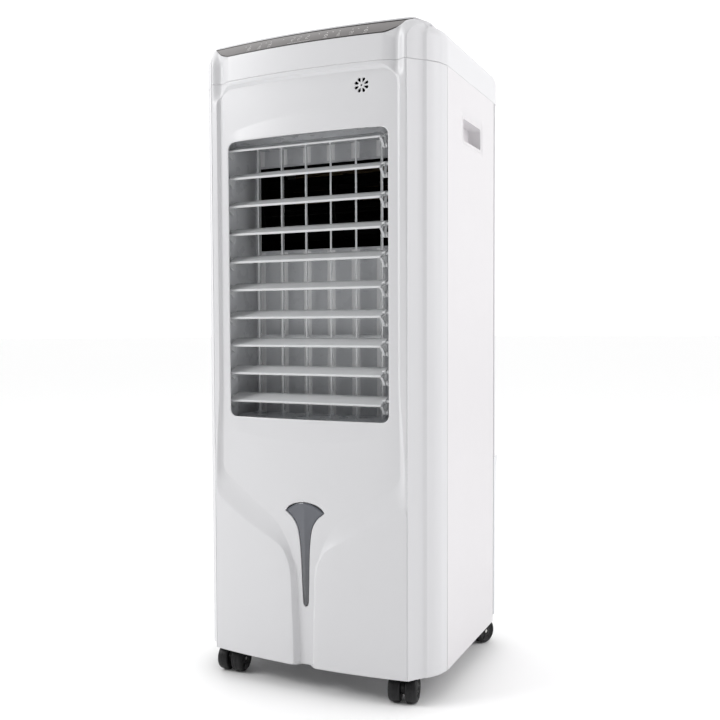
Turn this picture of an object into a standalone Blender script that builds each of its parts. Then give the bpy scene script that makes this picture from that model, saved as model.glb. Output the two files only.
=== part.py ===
"""Tower evaporative cooler: a wheeled cabinet with a tilting front grille,
swinging vanes behind it, a cross-flow blower, a wetted pad in a rear cassette,
a pull-out water tank and four twin-wheel swivel casters.

Millimetres are used in the constants and helpers, and turned into metres when
a vertex is made.  +Z is up, the air leaves towards -Y, +X is the right-hand
side seen from the front.  The origin is on the floor under the middle of the
object's box.
"""
import math
import bpy
import bmesh
from mathutils import Vector, Matrix
from mathutils.geometry import delaunay_2d_cdt, tessellate_polygon

# ------------------------------------------------------------------ constants
Y_SHIFT = -3.765

# cabinet outline (plan, right half, from the front crease round to the rear)
BOW = 12.0               # how far the front bows between middle and crease
FRONT_Y = -154.4         # front at the middle
CREASE_X = 148.0
SIDE_X = 182.4
SEAM_Y = -86.4           # where the front shell ends and the side panel starts
PANEL_REAR_Y = 131.6     # rear end of the side panels
REAR_Y = 152.0           # rear of the top cover and of the rear grille
CORNER = [(148.0, -142.4), (156.8, -131.2), (161.4, -125.4), (166.4, -122.0),
          (174.0, -111.6), (178.8, -102.0), (181.2, -93.0), (182.4, -86.4)]
WALL = 2.6               # moulded wall thickness

SKIRT_Z = 35.8           # lower edge of the cabinet
COVER_Z = 836.0          # seam between front shell and top cover
GAP = 0.4                # gap at every seam

# front relief
RECESS = 4.5
RIM_X, FLOOR_X = 144.0, 135.6
RIM_TOP, FLOOR_TOP = 829.5, 825.0
# lower sweep of the recess: rim line and floor line, right half (x, z)
SWEEP_RIM = [(144, 268.8), (136, 256), (100, 233), (60, 212), (36, 198),
             (26, 184), (20, 164), (17.6, 120), (16, 74), (15.2, 35.8)]
SWEEP_FLOOR = [(135.6, 301.2), (128, 288), (88, 260), (48, 232), (28, 204),
               (19, 180), (14, 168), (12.2, 120), (10.8, 74), (9.8, 35.8)]
# air opening
OPEN_X, OPEN_Z0, OPEN_Z1, OPEN_R = 121.2, 371.2, 752.8, 13.2

# louvres (the ten horizontal blades)
N_LOUVRE = 10
PITCH = 40.0
L_PITCH = 39.0
LIP_Y, LIP_Z = -133.5, 741.5       # front lower edge of the top blade
TILT = math.radians(24.0)
CHORD = 28.0
BLADE_X0, BLADE_X1 = -129.4, 107.4
PIVOT_Y, PIVOT_DZ = -120.0, 6.8    # pivot, from the blade's front lower edge
CRANK_R = 14.5
RAIL_X0, RAIL_X1, RAIL_Y0, RAIL_Y1 = -134.0, -131.6, -129.0, -106.0

# vanes (the seven upright blades behind the louvres)
N_VANE = 7
VANE_Y0, VANE_Y1 = -67.2, -31.0
VANE_PIVOT_Y = -64.6
VANE_Z0, VANE_Z1 = 368.5, 761.5
VANE_LINK_Z = 481.6
VANE_PIN_Y = -37.5
VANE_REST = math.radians(26.0)      # the vanes rest turned this far to the right

# outlet duct
DUCT_X, DUCT_Y0, DUCT_Y1, DUCT_Z0, DUCT_Z1, DUCT_T = 153.4, -130.0, -18.4, 363.0, 767.0, 3.0
OUT_X0, OUT_X1, OUT_Z0, OUT_Z1 = -146.0, 108.0, 612.4, 738.0

# blower
FAN_Y, FAN_Z, FAN_R = 35.0, 680.0, 50.0
FAN_X0, FAN_X1 = -143.0, 103.0

# tank drawer
TANK_X, TANK_Y0, TANK_Z0, TANK_Z1 = 163.0, -124.0, 68.0, 262.0
FASCIA_Z0, FASCIA_Z1 = 45.0, 292.8

# casters
WHEEL_R, WHEEL_IN, WHEEL_OUT, TRAIL = 18.5, 3.2, 20.0, 17.0
CASTERS = [  # name, swivel x, swivel y, heading of the trail (degrees from +Y)
    ("front_right", 131.0, -106.0, 180.0 + 12.0),
    ("front_left", -131.0, -106.0, 180.0 + 3.0),
    ("rear_right", 148.0, 120.0, -25.0),
    ("rear_left", -148.0, 120.0, 25.0)]


# -------------------------------------------------------------------- helpers
def clear_scene():
    for ob in list(bpy.data.objects):
        bpy.data.objects.remove(ob, do_unlink=True)


def material(name, rgb, rough, metal=0.0, alpha=1.0):
    m = bpy.data.materials.get(name)
    if m is None:
        m = bpy.data.materials.new(name)
        m.use_nodes = True
        b = m.node_tree.nodes["Principled BSDF"]
        b.inputs["Base Color"].default_value = (rgb[0], rgb[1], rgb[2], 1.0)
        b.inputs["Roughness"].default_value = rough
        b.inputs["Metallic"].default_value = metal
        b.inputs["Alpha"].default_value = alpha
    return m


def V(x, y, z):
    return Vector((x * 0.001, (y + Y_SHIFT) * 0.001, z * 0.001))


def new_object(name, bm, mat, angle=35.0, origin=None):
    """Finish a bmesh as a named object whose origin is at `origin` (mm)."""
    bmesh.ops.recalc_face_normals(bm, faces=bm.faces)
    me = bpy.data.meshes.new(name)
    o = V(*origin) if origin else Vector((0, 0, 0))
    if origin:
        bmesh.ops.translate(bm, verts=bm.verts, vec=-o)
    bm.to_mesh(me)
    bm.free()
    ob = bpy.data.objects.new(name, me)
    ob.location = o
    bpy.context.scene.collection.objects.link(ob)
    if mat:
        me.materials.append(mat)
    me.shade_smooth()
    me.set_sharp_from_angle(angle=math.radians(angle))
    return ob


def bm_prism(poly, axis, a, b, bm=None):
    """Extrude a closed polygon along an axis from a to b.
    axis 'x': poly is (y, z); 'y': (x, z); 'z': (x, y)."""
    bm = bm or bmesh.new()

    def at(p, t):
        if axis == 'x':
            return V(t, p[0], p[1])
        if axis == 'y':
            return V(p[0], t, p[1])
        return V(p[0], p[1], t)
    lo = [bm.verts.new(at(p, a)) for p in poly]
    hi = [bm.verts.new(at(p, b)) for p in poly]
    n = len(poly)
    faces = [bm.faces.new(lo[::-1]), bm.faces.new(hi)]
    for i in range(n):
        faces.append(bm.faces.new((lo[i], lo[(i + 1) % n], hi[(i + 1) % n], hi[i])))
    area = sum(poly[i][0] * poly[(i + 1) % n][1] - poly[(i + 1) % n][0] * poly[i][1]
               for i in range(n))
    flip = (area < 0) ^ (axis == 'y') ^ (b < a)
    if flip:
        bmesh.ops.reverse_faces(bm, faces=faces)
    return bm


def bm_box(x0, x1, y0, y1, z0, z1, bm=None):
    return bm_prism([(x0, y0), (x1, y0), (x1, y1), (x0, y1)], 'z', z0, z1, bm)


def bm_turn(profile, centre, direction, segs, bm=None):
    """Turn a closed (radius, along) profile round a line; radius 0 is allowed
    only at the two ends of an open profile, which is closed by fans."""
    bm = bm or bmesh.new()
    d = Vector(direction).normalized()
    a = Vector((0, 0, 1)) if abs(d.z) < 0.5 else Vector((1, 0, 0))
    a = (a - d * a.dot(d)).normalized()
    b = d.cross(a)
    c = V(*centre)
    rings = []
    for r, t in profile:
        if r < 1e-6:
            rings.append([bm.verts.new(c + d * t * 0.001)])
        else:
            rings.append([bm.verts.new(c + d * t * 0.001 + (a * math.cos(k * math.tau / segs)
                          + b * math.sin(k * math.tau / segs)) * r * 0.001) for k in range(segs)])
    closed = len(rings[0]) > 1
    pairs = list(zip(rings, rings[1:]))
    if closed:
        pairs.append((rings[-1], rings[0]))
    for p, q in pairs:
        for k in range(segs):
            j = (k + 1) % segs
            if len(p) == 1:
                bm.faces.new((p[0], q[k], q[j]))
            elif len(q) == 1:
                bm.faces.new((p[k], q[0], p[j]))
            else:
                bm.faces.new((p[k], q[k], q[j], p[j]))
    return bm


def bm_cyl(centre, direction, r, t0, t1, segs, bm=None):
    return bm_turn([(0, t0), (r, t0), (r, t1), (0, t1)], centre, direction, segs, bm)


def combine(name, first, others, op, mat, angle=35.0, origin=None):
    """Exact Boolean of whole closed meshes, baked into one new object.
    `others` is a list of (bmesh, operation)."""
    base = new_object(name, first, mat, angle)
    tools = []
    for i, item in enumerate(others):
        bmx, kind = item if isinstance(item, tuple) else (item, op)
        t = new_object(name + "_tool%d" % i, bmx, None)
        t.hide_render = True
        t.display_type = 'WIRE'
        mod = base.modifiers.new("b%d" % i, 'BOOLEAN')
        mod.operation = kind
        mod.solver = 'EXACT'
        mod.object = t
        tools.append(t)
    dg = bpy.context.evaluated_depsgraph_get()
    me = bpy.data.meshes.new_from_object(base.evaluated_get(dg))
    bpy.data.objects.remove(base, do_unlink=True)
    for t in tools:
        bpy.data.objects.remove(t, do_unlink=True)
    bm = bmesh.new()
    bm.from_mesh(me)
    bpy.data.meshes.remove(me)
    bmesh.ops.remove_doubles(bm, verts=bm.verts, dist=2e-6)
    bmesh.ops.dissolve_limit(bm, angle_limit=math.radians(0.05), verts=bm.verts, edges=bm.edges)
    bmesh.ops.triangulate(bm, faces=[f for f in bm.faces if len(f.verts) > 4])
    o = V(*origin) if origin else Vector((0, 0, 0))
    if origin:
        bmesh.ops.translate(bm, verts=bm.verts, vec=-o)
    me = bpy.data.meshes.new(name)
    bm.to_mesh(me)
    bm.free()
    me.materials.clear()
    if mat:
        me.materials.append(mat)
    for p in me.polygons:
        p.material_index = 0
    ob = bpy.data.objects.new(name, me)
    ob.location = o
    bpy.context.scene.collection.objects.link(ob)
    me.shade_smooth()
    me.set_sharp_from_angle(angle=math.radians(angle))
    return ob


def rounded_rect(x0, x1, z0, z1, r, n=4):
    pts = []
    for cx, cz, a0 in ((x1 - r, z1 - r, 0), (x0 + r, z1 - r, 90), (x0 + r, z0 + r, 180), (x1 - r, z0 + r, 270)):
        for k in range(n + 1):
            a = math.radians(a0 + 90.0 * k / n)
            pts.append((cx + r * math.cos(a), cz + r * math.sin(a)))
    return pts


def inside(poly, x, z):
    c = False
    n = len(poly)
    for i in range(n):
        (x0, z0), (x1, z1) = poly[i], poly[(i + 1) % n]
        if (z0 > z) != (z1 > z) and x < (x1 - x0) * (z - z0) / (z1 - z0) + x0:
            c = not c
    return c


def seg_dist(pts, x, z):
    best = 1e9
    for (x0, z0), (x1, z1) in zip(pts, pts[1:]):
        dx, dz = x1 - x0, z1 - z0
        t = ((x - x0) * dx + (z - z0) * dz) / (dx * dx + dz * dz)
        t = min(1.0, max(0.0, t))
        best = min(best, math.hypot(x - x0 - t * dx, z - z0 - t * dz))
    return best


# ------------------------------------------------------- outline of the cabinet
def front_y(x):
    return FRONT_Y + BOW * (x / CREASE_X) ** 2


CORNER_S = [CREASE_X]
for (xa, ya), (xb, yb) in zip(CORNER, CORNER[1:]):
    CORNER_S.append(CORNER_S[-1] + math.hypot(xb - xa, yb - ya))
S_END = CORNER_S[-1]


def plan(s):
    """Point of the front outline at s: x itself up to the crease, then the
    length along the corner."""
    sg = -1.0 if s < 0 else 1.0
    a = abs(s)
    if a <= CREASE_X:
        return s, front_y(s)
    for i in range(len(CORNER) - 1):
        if a <= CORNER_S[i + 1] + 1e-6:
            t = (a - CORNER_S[i]) / (CORNER_S[i + 1] - CORNER_S[i])
            return (sg * (CORNER[i][0] + t * (CORNER[i + 1][0] - CORNER[i][0])),
                    CORNER[i][1] + t * (CORNER[i + 1][1] - CORNER[i][1]))
    return sg * CORNER[-1][0], CORNER[-1][1]


def inward(s):
    """Unit direction into the cabinet, across the outline at s."""
    xa, ya = plan(s - 1.5)
    xb, yb = plan(s + 1.5)
    if abs(s) >= S_END - 1.5:
        return (-1.0 if s > 0 else 1.0), 0.0
    dx, dy = xb - xa, yb - ya
    n = math.hypot(dx, dy)
    return -dy / n, dx / n


RIM_R = [(0.0, RIM_TOP), (RIM_X, RIM_TOP)] + SWEEP_RIM
FLOOR_R = [(0.0, FLOOR_TOP), (FLOOR_X, FLOOR_TOP)] + SWEEP_FLOOR
RIM = RIM_R + [(-x, z) for x, z in RIM_R[::-1]]
FLOOR = FLOOR_R + [(-x, z) for x, z in FLOOR_R[::-1]]


def relief(s, z):
    """Depth of the recess under the main front surface."""
    if not inside(RIM, s, z):
        return 0.0
    if inside(FLOOR, s, z):
        return RECESS
    do = seg_dist(RIM, s, z)
    di = seg_dist(FLOOR, s, z)
    return RECESS * do / (do + di)


WINDOW = [(0, 115.6), (3.6, 121.6), (4.9, 148.4), (6.2, 186.8), (8.2, 210.0), (11.4, 225.2),
          (18.0, 236.4), (23.0, 241.0), (29.4, 246.0), (24.0, 252.0), (14.0, 256.6), (0, 258.8)]
WINDOW = WINDOW + [(-x, z) for x, z in WINDOW[-2:0:-1]]


def shell_from_outline():
    """Front shell: outer relief surface, the same surface one wall further in,
    joined round the outside, the air opening and the window."""
    pts, edges = [], []

    def loop(poly, closed=True):
        i0 = len(pts)
        pts.extend(poly)
        n = len(poly)
        for k in range(n if closed else n - 1):
            edges.append((i0 + k, i0 + (k + 1) % n))
    z0, z1 = SKIRT_Z, COVER_Z - GAP
    loop([(-S_END, z0), (S_END, z0), (S_END, z1), (-S_END, z1)])
    hole = rounded_rect(-OPEN_X, OPEN_X, OPEN_Z0, OPEN_Z1, OPEN_R, 3)
    win = [(x * 1.0 + (0.45 if x > 0 else -0.45 if x < 0 else 0), z + (0.5 if z > 250 else -0.5 if z < 120 else 0))
           for x, z in WINDOW]
    loop(hole)
    loop(win)
    loop(RIM, False)
    loop(FLOOR, False)
    for s in [0, 50, 100] + CORNER_S[:-1]:
        for sg in ((1, -1) if s else (1,)):
            loop([(sg * s, z0), (sg * s, z1)], False)
    out = delaunay_2d_cdt([Vector(p) for p in pts], edges, [], 0, 1e-4)
    vv, ff = out[0], out[2]
    tris = []
    for f in ff:
        cx = sum(vv[i].x for i in f) / 3
        cz = sum(vv[i].y for i in f) / 3
        if inside(hole, cx, cz) or inside(win, cx, cz):
            continue
        a = (vv[f[1]] - vv[f[0]]).cross(vv[f[2]] - vv[f[0]])
        if abs(a) < 1e-6:
            continue
        tris.append(tuple(f))
    used = sorted({i for t in tris for i in t})
    bm = bmesh.new()
    outer, inner = {}, {}
    for i in used:
        s, z = vv[i].x, vv[i].y
        x, y = plan(s)
        nx, ny = inward(s)
        d = relief(s, z)
        outer[i] = bm.verts.new(V(x + nx * d, y + ny * d, z))
        inner[i] = bm.verts.new(V(x + nx * (d + WALL), y + ny * (d + WALL), z))
    count = {}
    for t in tris:
        bm.faces.new([outer[i] for i in t])
        bm.faces.new([inner[i] for i in t[::-1]])
        for a, b in ((t[0], t[1]), (t[1], t[2]), (t[2], t[0])):
            count.setdefault((min(a, b), max(a, b)), []).append((a, b))
    for key, uses in count.items():
        if len(uses) == 1:
            a, b = uses[0]
            bm.faces.new((outer[b], outer[a], inner[a], inner[b]))
    return bm


def full_plan(inset=0.0):
    """Closed outline of the top cover, moved in by `inset`."""
    pts = [plan(s) for s in (0, 50, 100)] + CORNER[:]
    r = 14.0
    pts.append((SIDE_X, REAR_Y - r))
    for k in range(1, 4):
        a = math.radians(90.0 * k / 3)
        pts.append((SIDE_X - r + r * math.cos(a), REAR_Y - r + r * math.sin(a)))
    full = pts + [(-x, y) for x, y in pts[:0:-1]]
    if inset == 0:
        return full
    half = (REAR_Y - FRONT_Y) / 2
    mid = (REAR_Y + FRONT_Y) / 2
    return [(x * (SIDE_X - inset) / SIDE_X, mid + (y - mid) * (half - inset) / half) for x, y in full]


def bm_rings(rings, bm=None):
    """Loft closed rings (lists of (x, y), z) and cap both ends."""
    bm = bm or bmesh.new()
    vs = [[bm.verts.new(V(x, y, z)) for x, y in ring] for ring, z in rings]
    for p, q in zip(vs, vs[1:]):
        n = len(p)
        for i in range(n):
            bm.faces.new((p[i], p[(i + 1) % n], q[(i + 1) % n], q[i]))
    bm.faces.new(vs[0][::-1])
    bm.faces.new(vs[-1])
    return bm


# ------------------------------------------------------------ materials
def mats():
    return {
        "white": material("white_abs", (0.80, 0.80, 0.82), 0.32),
        "blade": material("blade_abs", (0.72, 0.73, 0.75), 0.4),
        "grey": material("grey_abs", (0.30, 0.30, 0.31), 0.45),
        "panel": material("panel_gloss", (0.25, 0.235, 0.23), 0.12),
        "smoke": material("smoke_lens", (0.08, 0.085, 0.10), 0.08),
        "black": material("black_nylon", (0.012, 0.012, 0.013), 0.35),
        "dark": material("dark_duct", (0.02, 0.02, 0.02), 0.6),
        "steel": material("zinc_steel", (0.6, 0.6, 0.6), 0.35, 1.0),
        "pad": material("cellulose_pad", (0.33, 0.22, 0.10), 0.9),
        "board": material("circuit_board", (0.03, 0.18, 0.07), 0.5),
        "tank": material("tank_pp", (0.72, 0.74, 0.76), 0.35),
        "hose": material("silicone_hose", (0.75, 0.75, 0.72), 0.4),
        "net": material("filter_net", (0.10, 0.10, 0.11), 0.8),
    }


# ------------------------------------------------------------ panel curves
def panel_low(x):
    """Lower edge of the control panel: along the front, then sweeping back."""
    a = abs(x)
    if a <= 117:
        return front_y(x) + 1.2, 870.5
    t = (a - 117) / 33.0
    k = t * t * (3 - 2 * t)
    return front_y(117) + 1.2 + (-127.4 - front_y(117)) * (0.35 * t + 0.65 * k), 870.5 + 17.5 * (0.35 * t + 0.65 * k)


def panel_high(x):
    q = (x / 150.0) ** 2
    return -136.0 + 10.8 * q, 890.8 - 0.8 * q


PANEL_X = [-149, -143, -135, -126, -117, -85, -43, 0, 43, 85, 117, 126, 135, 143, 149]


def bm_panel(grow, t_in, t_out):
    """Sloping crescent: `grow` widens it, t_in/t_out are its depth below and
    above the sloping face."""
    bm = bmesh.new()
    cols = []
    for x in PANEL_X:
        ly, lz = panel_low(x)
        hy, hz = panel_high(x)
        d = Vector((hy - ly, hz - lz))
        d.normalize()
        n = Vector((-d.y, d.x))
        if n.y < 0:
            n = -n
        n = Vector((-0.72, 0.69))
        lo = Vector((ly, lz)) - d * grow
        hi = Vector((hy, hz)) + d * grow
        xx = x + math.copysign(grow, x) if abs(x) > 148 else x
        cols.append([bm.verts.new(V(xx, p.x, p.y)) for p in
                     (lo - n * t_in, hi - n * t_in, hi + n * t_out, lo + n * t_out)])
    for a, b in zip(cols, cols[1:]):
        for k in range(4):
            bm.faces.new((a[k], a[(k + 1) % 4], b[(k + 1) % 4], b[k]))
    bm.faces.new(cols[0][::-1])
    bm.faces.new(cols[-1])
    return bm


# ------------------------------------------------------------ build
def build_shells(M):
    new_object("front_shell", shell_from_outline(), M["white"], 25)

    # side panels, with the carrying recess moulded in
    for side, sg in (("right", 1), ("left", -1)):
        def sx(a):
            return a * sg
        def bx(xa, xb, *r):
            return bm_box(min(sx(xa), sx(xb)), max(sx(xa), sx(xb)), *r)
        first = bx(SIDE_X - WALL, SIDE_X, SEAM_Y + GAP, PANEL_REAR_Y, SKIRT_Z, COVER_Z - GAP)
        pocket_out = bx(SIDE_X - 26, SIDE_X - 1, -22, 66, 744, 790)
        pocket_in = bx(SIDE_X - 23.4, SIDE_X + 5, -18, 62, 748, 786)
        combine("side_panel_" + side, first, [(pocket_out, 'UNION'), (pocket_in, 'DIFFERENCE')], None, M["white"])

    # top cover: walls, rounded shoulder, deck; opening for the control panel
    # and the filling hole under the lid
    outer = bm_rings([(full_plan(0), COVER_Z), (full_plan(0), 869.5), (full_plan(4.5), 878.5), (full_plan(15), 884.0)])
    innr = bm_rings([(full_plan(WALL), COVER_Z - 5), (full_plan(WALL), 868.0), (full_plan(8.0), 876.0), (full_plan(17), 881.2)])
    fill = bm_prism(rounded_rect(-70, 70, 0, 70, 12, 3), 'z', 870, 900)
    rear = bm_cyl((140, 152, 852), (0, 1, 0), 6.6, -8, 8, 16)
    combine("top_cover", outer, [(innr, 'DIFFERENCE'), (bm_panel(0.4, 2.9, 40), 'DIFFERENCE'),
                                 (fill, 'DIFFERENCE'), (rear, 'DIFFERENCE')], None, M["white"])

    new_object("control_panel", bm_panel(0.0, 2.5, 0.0), M["panel"], 25)

    # lid over the filling opening, hinged along its rear edge
    xs = [-166, -150, -110, -60, 0, 60, 110, 150, 166]
    front = []
    for x in xs:
        yy = panel_high(max(-150, min(150, x)))[0] + 2.7
        if abs(x) > 155:
            yy = -116.0
        front.append((x, yy))
    rear_edge = [(166, 128), (158, 136), (-158, 136), (-166, 128)]
    low = front + rear_edge
    high = [(x * 0.985, y + (2.0 if y < 0 else -2.0)) for x, y in low]
    lid = bm_rings([(low, 884.4), (low, 890.5), (high, 893.4)])
    hollow = bm_box(-154, 154, -112, 124, 884.0, 887.6)
    combine("top_lid", lid, [(hollow, 'DIFFERENCE')], None, M["white"], 35, (0, 136, 885.0))

    # rear frame that the pad cassette and the tank slide into
    frame = bm_box(-178.9, 178.9, 119.0, 131.0, 66.4, COVER_Z - GAP)
    up = bm_box(-158, 158, 110, 140, 306, 806)
    dn = bm_box(-167, 167, 110, 140, 60, 272)
    combine("back_frame", frame, [(up, 'DIFFERENCE'), (dn, 'DIFFERENCE')], None, M["grey"])

    # base pan with the four caster sockets
    base = bm_prism(full_plan(6.0), 'z', 60.0, 64.0)
    # the pan stops short of the tank fascia
    others = [(bm_box(-200, 200, 131.0, 200, 50, 70), 'DIFFERENCE'),
              (bm_box(-24, 24, -200, -137.0, 50, 70), 'DIFFERENCE')]
    for _, x, y, _h in CASTERS:
        others.append((bm_cyl((x, y, 0), (0, 0, 1), 10.0, 46.5, 62.0, 16), 'UNION'))
    for _, x, y, _h in CASTERS:
        others.append((bm_cyl((x, y, 0), (0, 0, 1), 5.2, 40.0, 70.0, 12), 'DIFFERENCE'))
    combine("base_pan", base, others, None, M["grey"])

    # level window
    new_object("water_window", bm_prism(WINDOW, 'y', FRONT_Y + RECESS - 1.2, FRONT_Y + RECESS + 3.2), M["smoke"])


def build_duct(M):
    box = bm_box(-DUCT_X, DUCT_X, DUCT_Y0, DUCT_Y1, DUCT_Z0, DUCT_Z1)
    t = DUCT_T
    cav = bm_box(-DUCT_X + t, DUCT_X - t, DUCT_Y0 - 5, DUCT_Y1 - t, DUCT_Z0 + t, DUCT_Z1 - t)
    out = bm_box(OUT_X0, OUT_X1, DUCT_Y1 - 8, DUCT_Y1 + 5, OUT_Z0, OUT_Z1)
    holes = bmesh.new()
    # the louvres turn in an upright rail on the left and in the wall on the right
    rail = bm_box(RAIL_X0, RAIL_X1, RAIL_Y0, RAIL_Y1, DUCT_Z0 + 1, DUCT_Z1 - 1)
    for k in range(N_LOUVRE):
        z = LIP_Z + PIVOT_DZ - k * L_PITCH
        for x, w in ((RAIL_X0 - 1, RAIL_X1 - RAIL_X0), (DUCT_X - t - 1, t)):
            bm_cyl((x, PIVOT_Y, z), (1, 0, 0), 2.6, 0, w + 2, 6, holes)
    for k in range(N_VANE):
        x = (k - 3) * PITCH
        for z in (DUCT_Z0 - 1, DUCT_Z1 - t - 1):
            bm_cyl((x, VANE_PIVOT_Y, z), (0, 0, 1), 2.6, 0, t + 2, 6, holes)
    combine("outlet_duct", box, [(cav, 'DIFFERENCE'), (out, 'DIFFERENCE'), (rail, 'UNION'), (holes, 'DIFFERENCE')], None, M["grey"])


def blade_profile():
    """Louvre section in (y, z) from its front lower edge, nose down."""
    raw = [(0, 0), (1.2, -0.3), (CHORD, 0.2), (CHORD, 1.8), (2.5, 3.4), (0.3, 3.3)]
    c, s = math.cos(TILT), math.sin(TILT)
    return [(u * c - w * s, u * s + w * c) for u, w in raw]


def build_louvres(M):
    prof = blade_profile()
    for k in range(N_LOUVRE):
        z = LIP_Z - k * L_PITCH
        sect = [(LIP_Y + u, z + w) for u, w in prof]
        blade = bm_prism(sect, 'x', BLADE_X0, BLADE_X1)
        pz = z + PIVOT_DZ
        pin_l = bm_cyl((-135.0, PIVOT_Y, pz), (1, 0, 0), 2.1, 0, 9.0, 6)
        arm = bm_cyl((BLADE_X1 - 4.0, PIVOT_Y, pz), (1, 0, 0), 2.1, 0, 151.6 - BLADE_X1 + 4.0, 6)
        # end plate down to the crank pin
        crank = bm_prism([(PIVOT_Y - 8.0, pz - 2.4), (PIVOT_Y - 2.8, pz - CRANK_R - 2.8), (PIVOT_Y + 2.8, pz - CRANK_R - 2.8),
                          (PIVOT_Y + 6.5, pz + 1.4)], 'x', BLADE_X1 - 2.2, BLADE_X1 + 0.2)
        pin = bm_cyl((BLADE_X1 - 1.0, PIVOT_Y, pz - CRANK_R), (1, 0, 0), 1.5, 0, 7.2, 6)
        combine("louvre_%02d" % (k + 1), blade,
                [(pin_l, 'UNION'), (arm, 'UNION'), (crank, 'UNION'), (pin, 'UNION')],
                None, M["blade"], 30, (0, PIVOT_Y, pz))
    # link bar that ties the ten cranks together
    z_top = LIP_Z + PIVOT_DZ - CRANK_R
    z_bot = z_top - 9 * L_PITCH
    x0, x1 = BLADE_X1 + 2.2, BLADE_X1 + 5.2
    # the upright runs behind the pivot arms, with a tab forward to each pin
    pins = bmesh.new()
    for k in range(N_LOUVRE):
        bm_cyl((x0 - 1.0, PIVOT_Y, z_top - k * L_PITCH), (1, 0, 0), 1.8, 0, 6, 8, pins)
    bar2 = bm_box(x0, x1, PIVOT_Y + 15, PIVOT_Y + 18, z_bot - 5, z_top + 5)
    others = []
    for k in range(N_LOUVRE):
        zz = z_top - k * L_PITCH
        others.append((bm_box(x0, x1, PIVOT_Y - 4, PIVOT_Y + 16, zz - 3.2, zz + 3.2), 'UNION'))
    others.append((pins, 'DIFFERENCE'))
    combine("louvre_link", bar2, others, None, M["blade"], 30, (0, PIVOT_Y, z_top))


def turned(bm, x, y, angle):
    """Turn a shape about the upright line through (x, y)."""
    bmesh.ops.rotate(bm, cent=V(x, y, 0), matrix=Matrix.Rotation(angle, 3, 'Z'), verts=bm.verts)
    return bm


def build_vanes(M):
    for k in range(N_VANE):
        x = (k - 3) * PITCH
        plate = [(VANE_Y0, VANE_Z0), (VANE_Y1, VANE_Z0), (VANE_Y1, VANE_LINK_Z - 6), (VANE_PIN_Y - 9, VANE_LINK_Z - 6),
                 (VANE_PIN_Y - 9, VANE_LINK_Z + 6), (VANE_Y1, VANE_LINK_Z + 6), (VANE_Y1, VANE_Z1), (VANE_Y0, VANE_Z1)]
        shapes = [bm_prism(plate, 'x', x - 0.9, x + 0.9),
                  bm_cyl((x, VANE_PIVOT_Y, VANE_Z1 - 6), (0, 0, 1), 2.1, 0, 11.6, 6),
                  bm_cyl((x, VANE_PIVOT_Y, VANE_Z0 - 5.6), (0, 0, 1), 2.1, 0, 11.6, 6),
                  bm_cyl((x, VANE_PIN_Y, VANE_LINK_Z - 9), (0, 0, 1), 1.5, 0, 18, 6)]
        for bm in shapes:
            turned(bm, x, VANE_PIVOT_Y, VANE_REST)
        combine("vane_%d" % (k + 1), shapes[0], [(bm, 'UNION') for bm in shapes[1:]],
                None, M["blade"], 30, (x, VANE_PIVOT_Y, VANE_LINK_Z))
    # link bar through the notches; its pins sit on the turned vanes
    reach = VANE_PIN_Y - VANE_PIVOT_Y
    dx = -reach * math.sin(VANE_REST)
    py = VANE_PIVOT_Y + reach * math.cos(VANE_REST)
    bar = bm_box(-3 * PITCH - 5 + dx, 3 * PITCH + 5 + dx, py - 3.4, py + 3.4, VANE_LINK_Z - 3, VANE_LINK_Z + 3)
    pins = bmesh.new()
    for k in range(N_VANE):
        bm_cyl(((k - 3) * PITCH + dx, py, VANE_LINK_Z - 5), (0, 0, 1), 1.8, 0, 10, 8, pins)
    combine("vane_link", bar, [(pins, 'DIFFERENCE')], None, M["blade"], 30, (-3 * PITCH + dx, py, VANE_LINK_Z))
    # synchronous motor above the duct that swings the vanes
    sm = bm_turn([(0, 0), (20, 0), (21, 1), (21, 14), (19, 16), (0, 16)], (3 * PITCH, VANE_PIVOT_Y, DUCT_Z1 + 3.0), (0, 0, 1), 20)
    boss = bm_cyl((3 * PITCH, VANE_PIVOT_Y, DUCT_Z1 + 0.5), (0, 0, 1), 4.0, 0, 4, 10)
    ears = bm_box(3 * PITCH - 28, 3 * PITCH + 28, VANE_PIVOT_Y - 4, VANE_PIVOT_Y + 4, DUCT_Z1 + 3.4, DUCT_Z1 + 4.8)
    combine("swing_motor", sm, [(boss, 'UNION'), (ears, 'UNION')], None, M["steel"])


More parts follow.
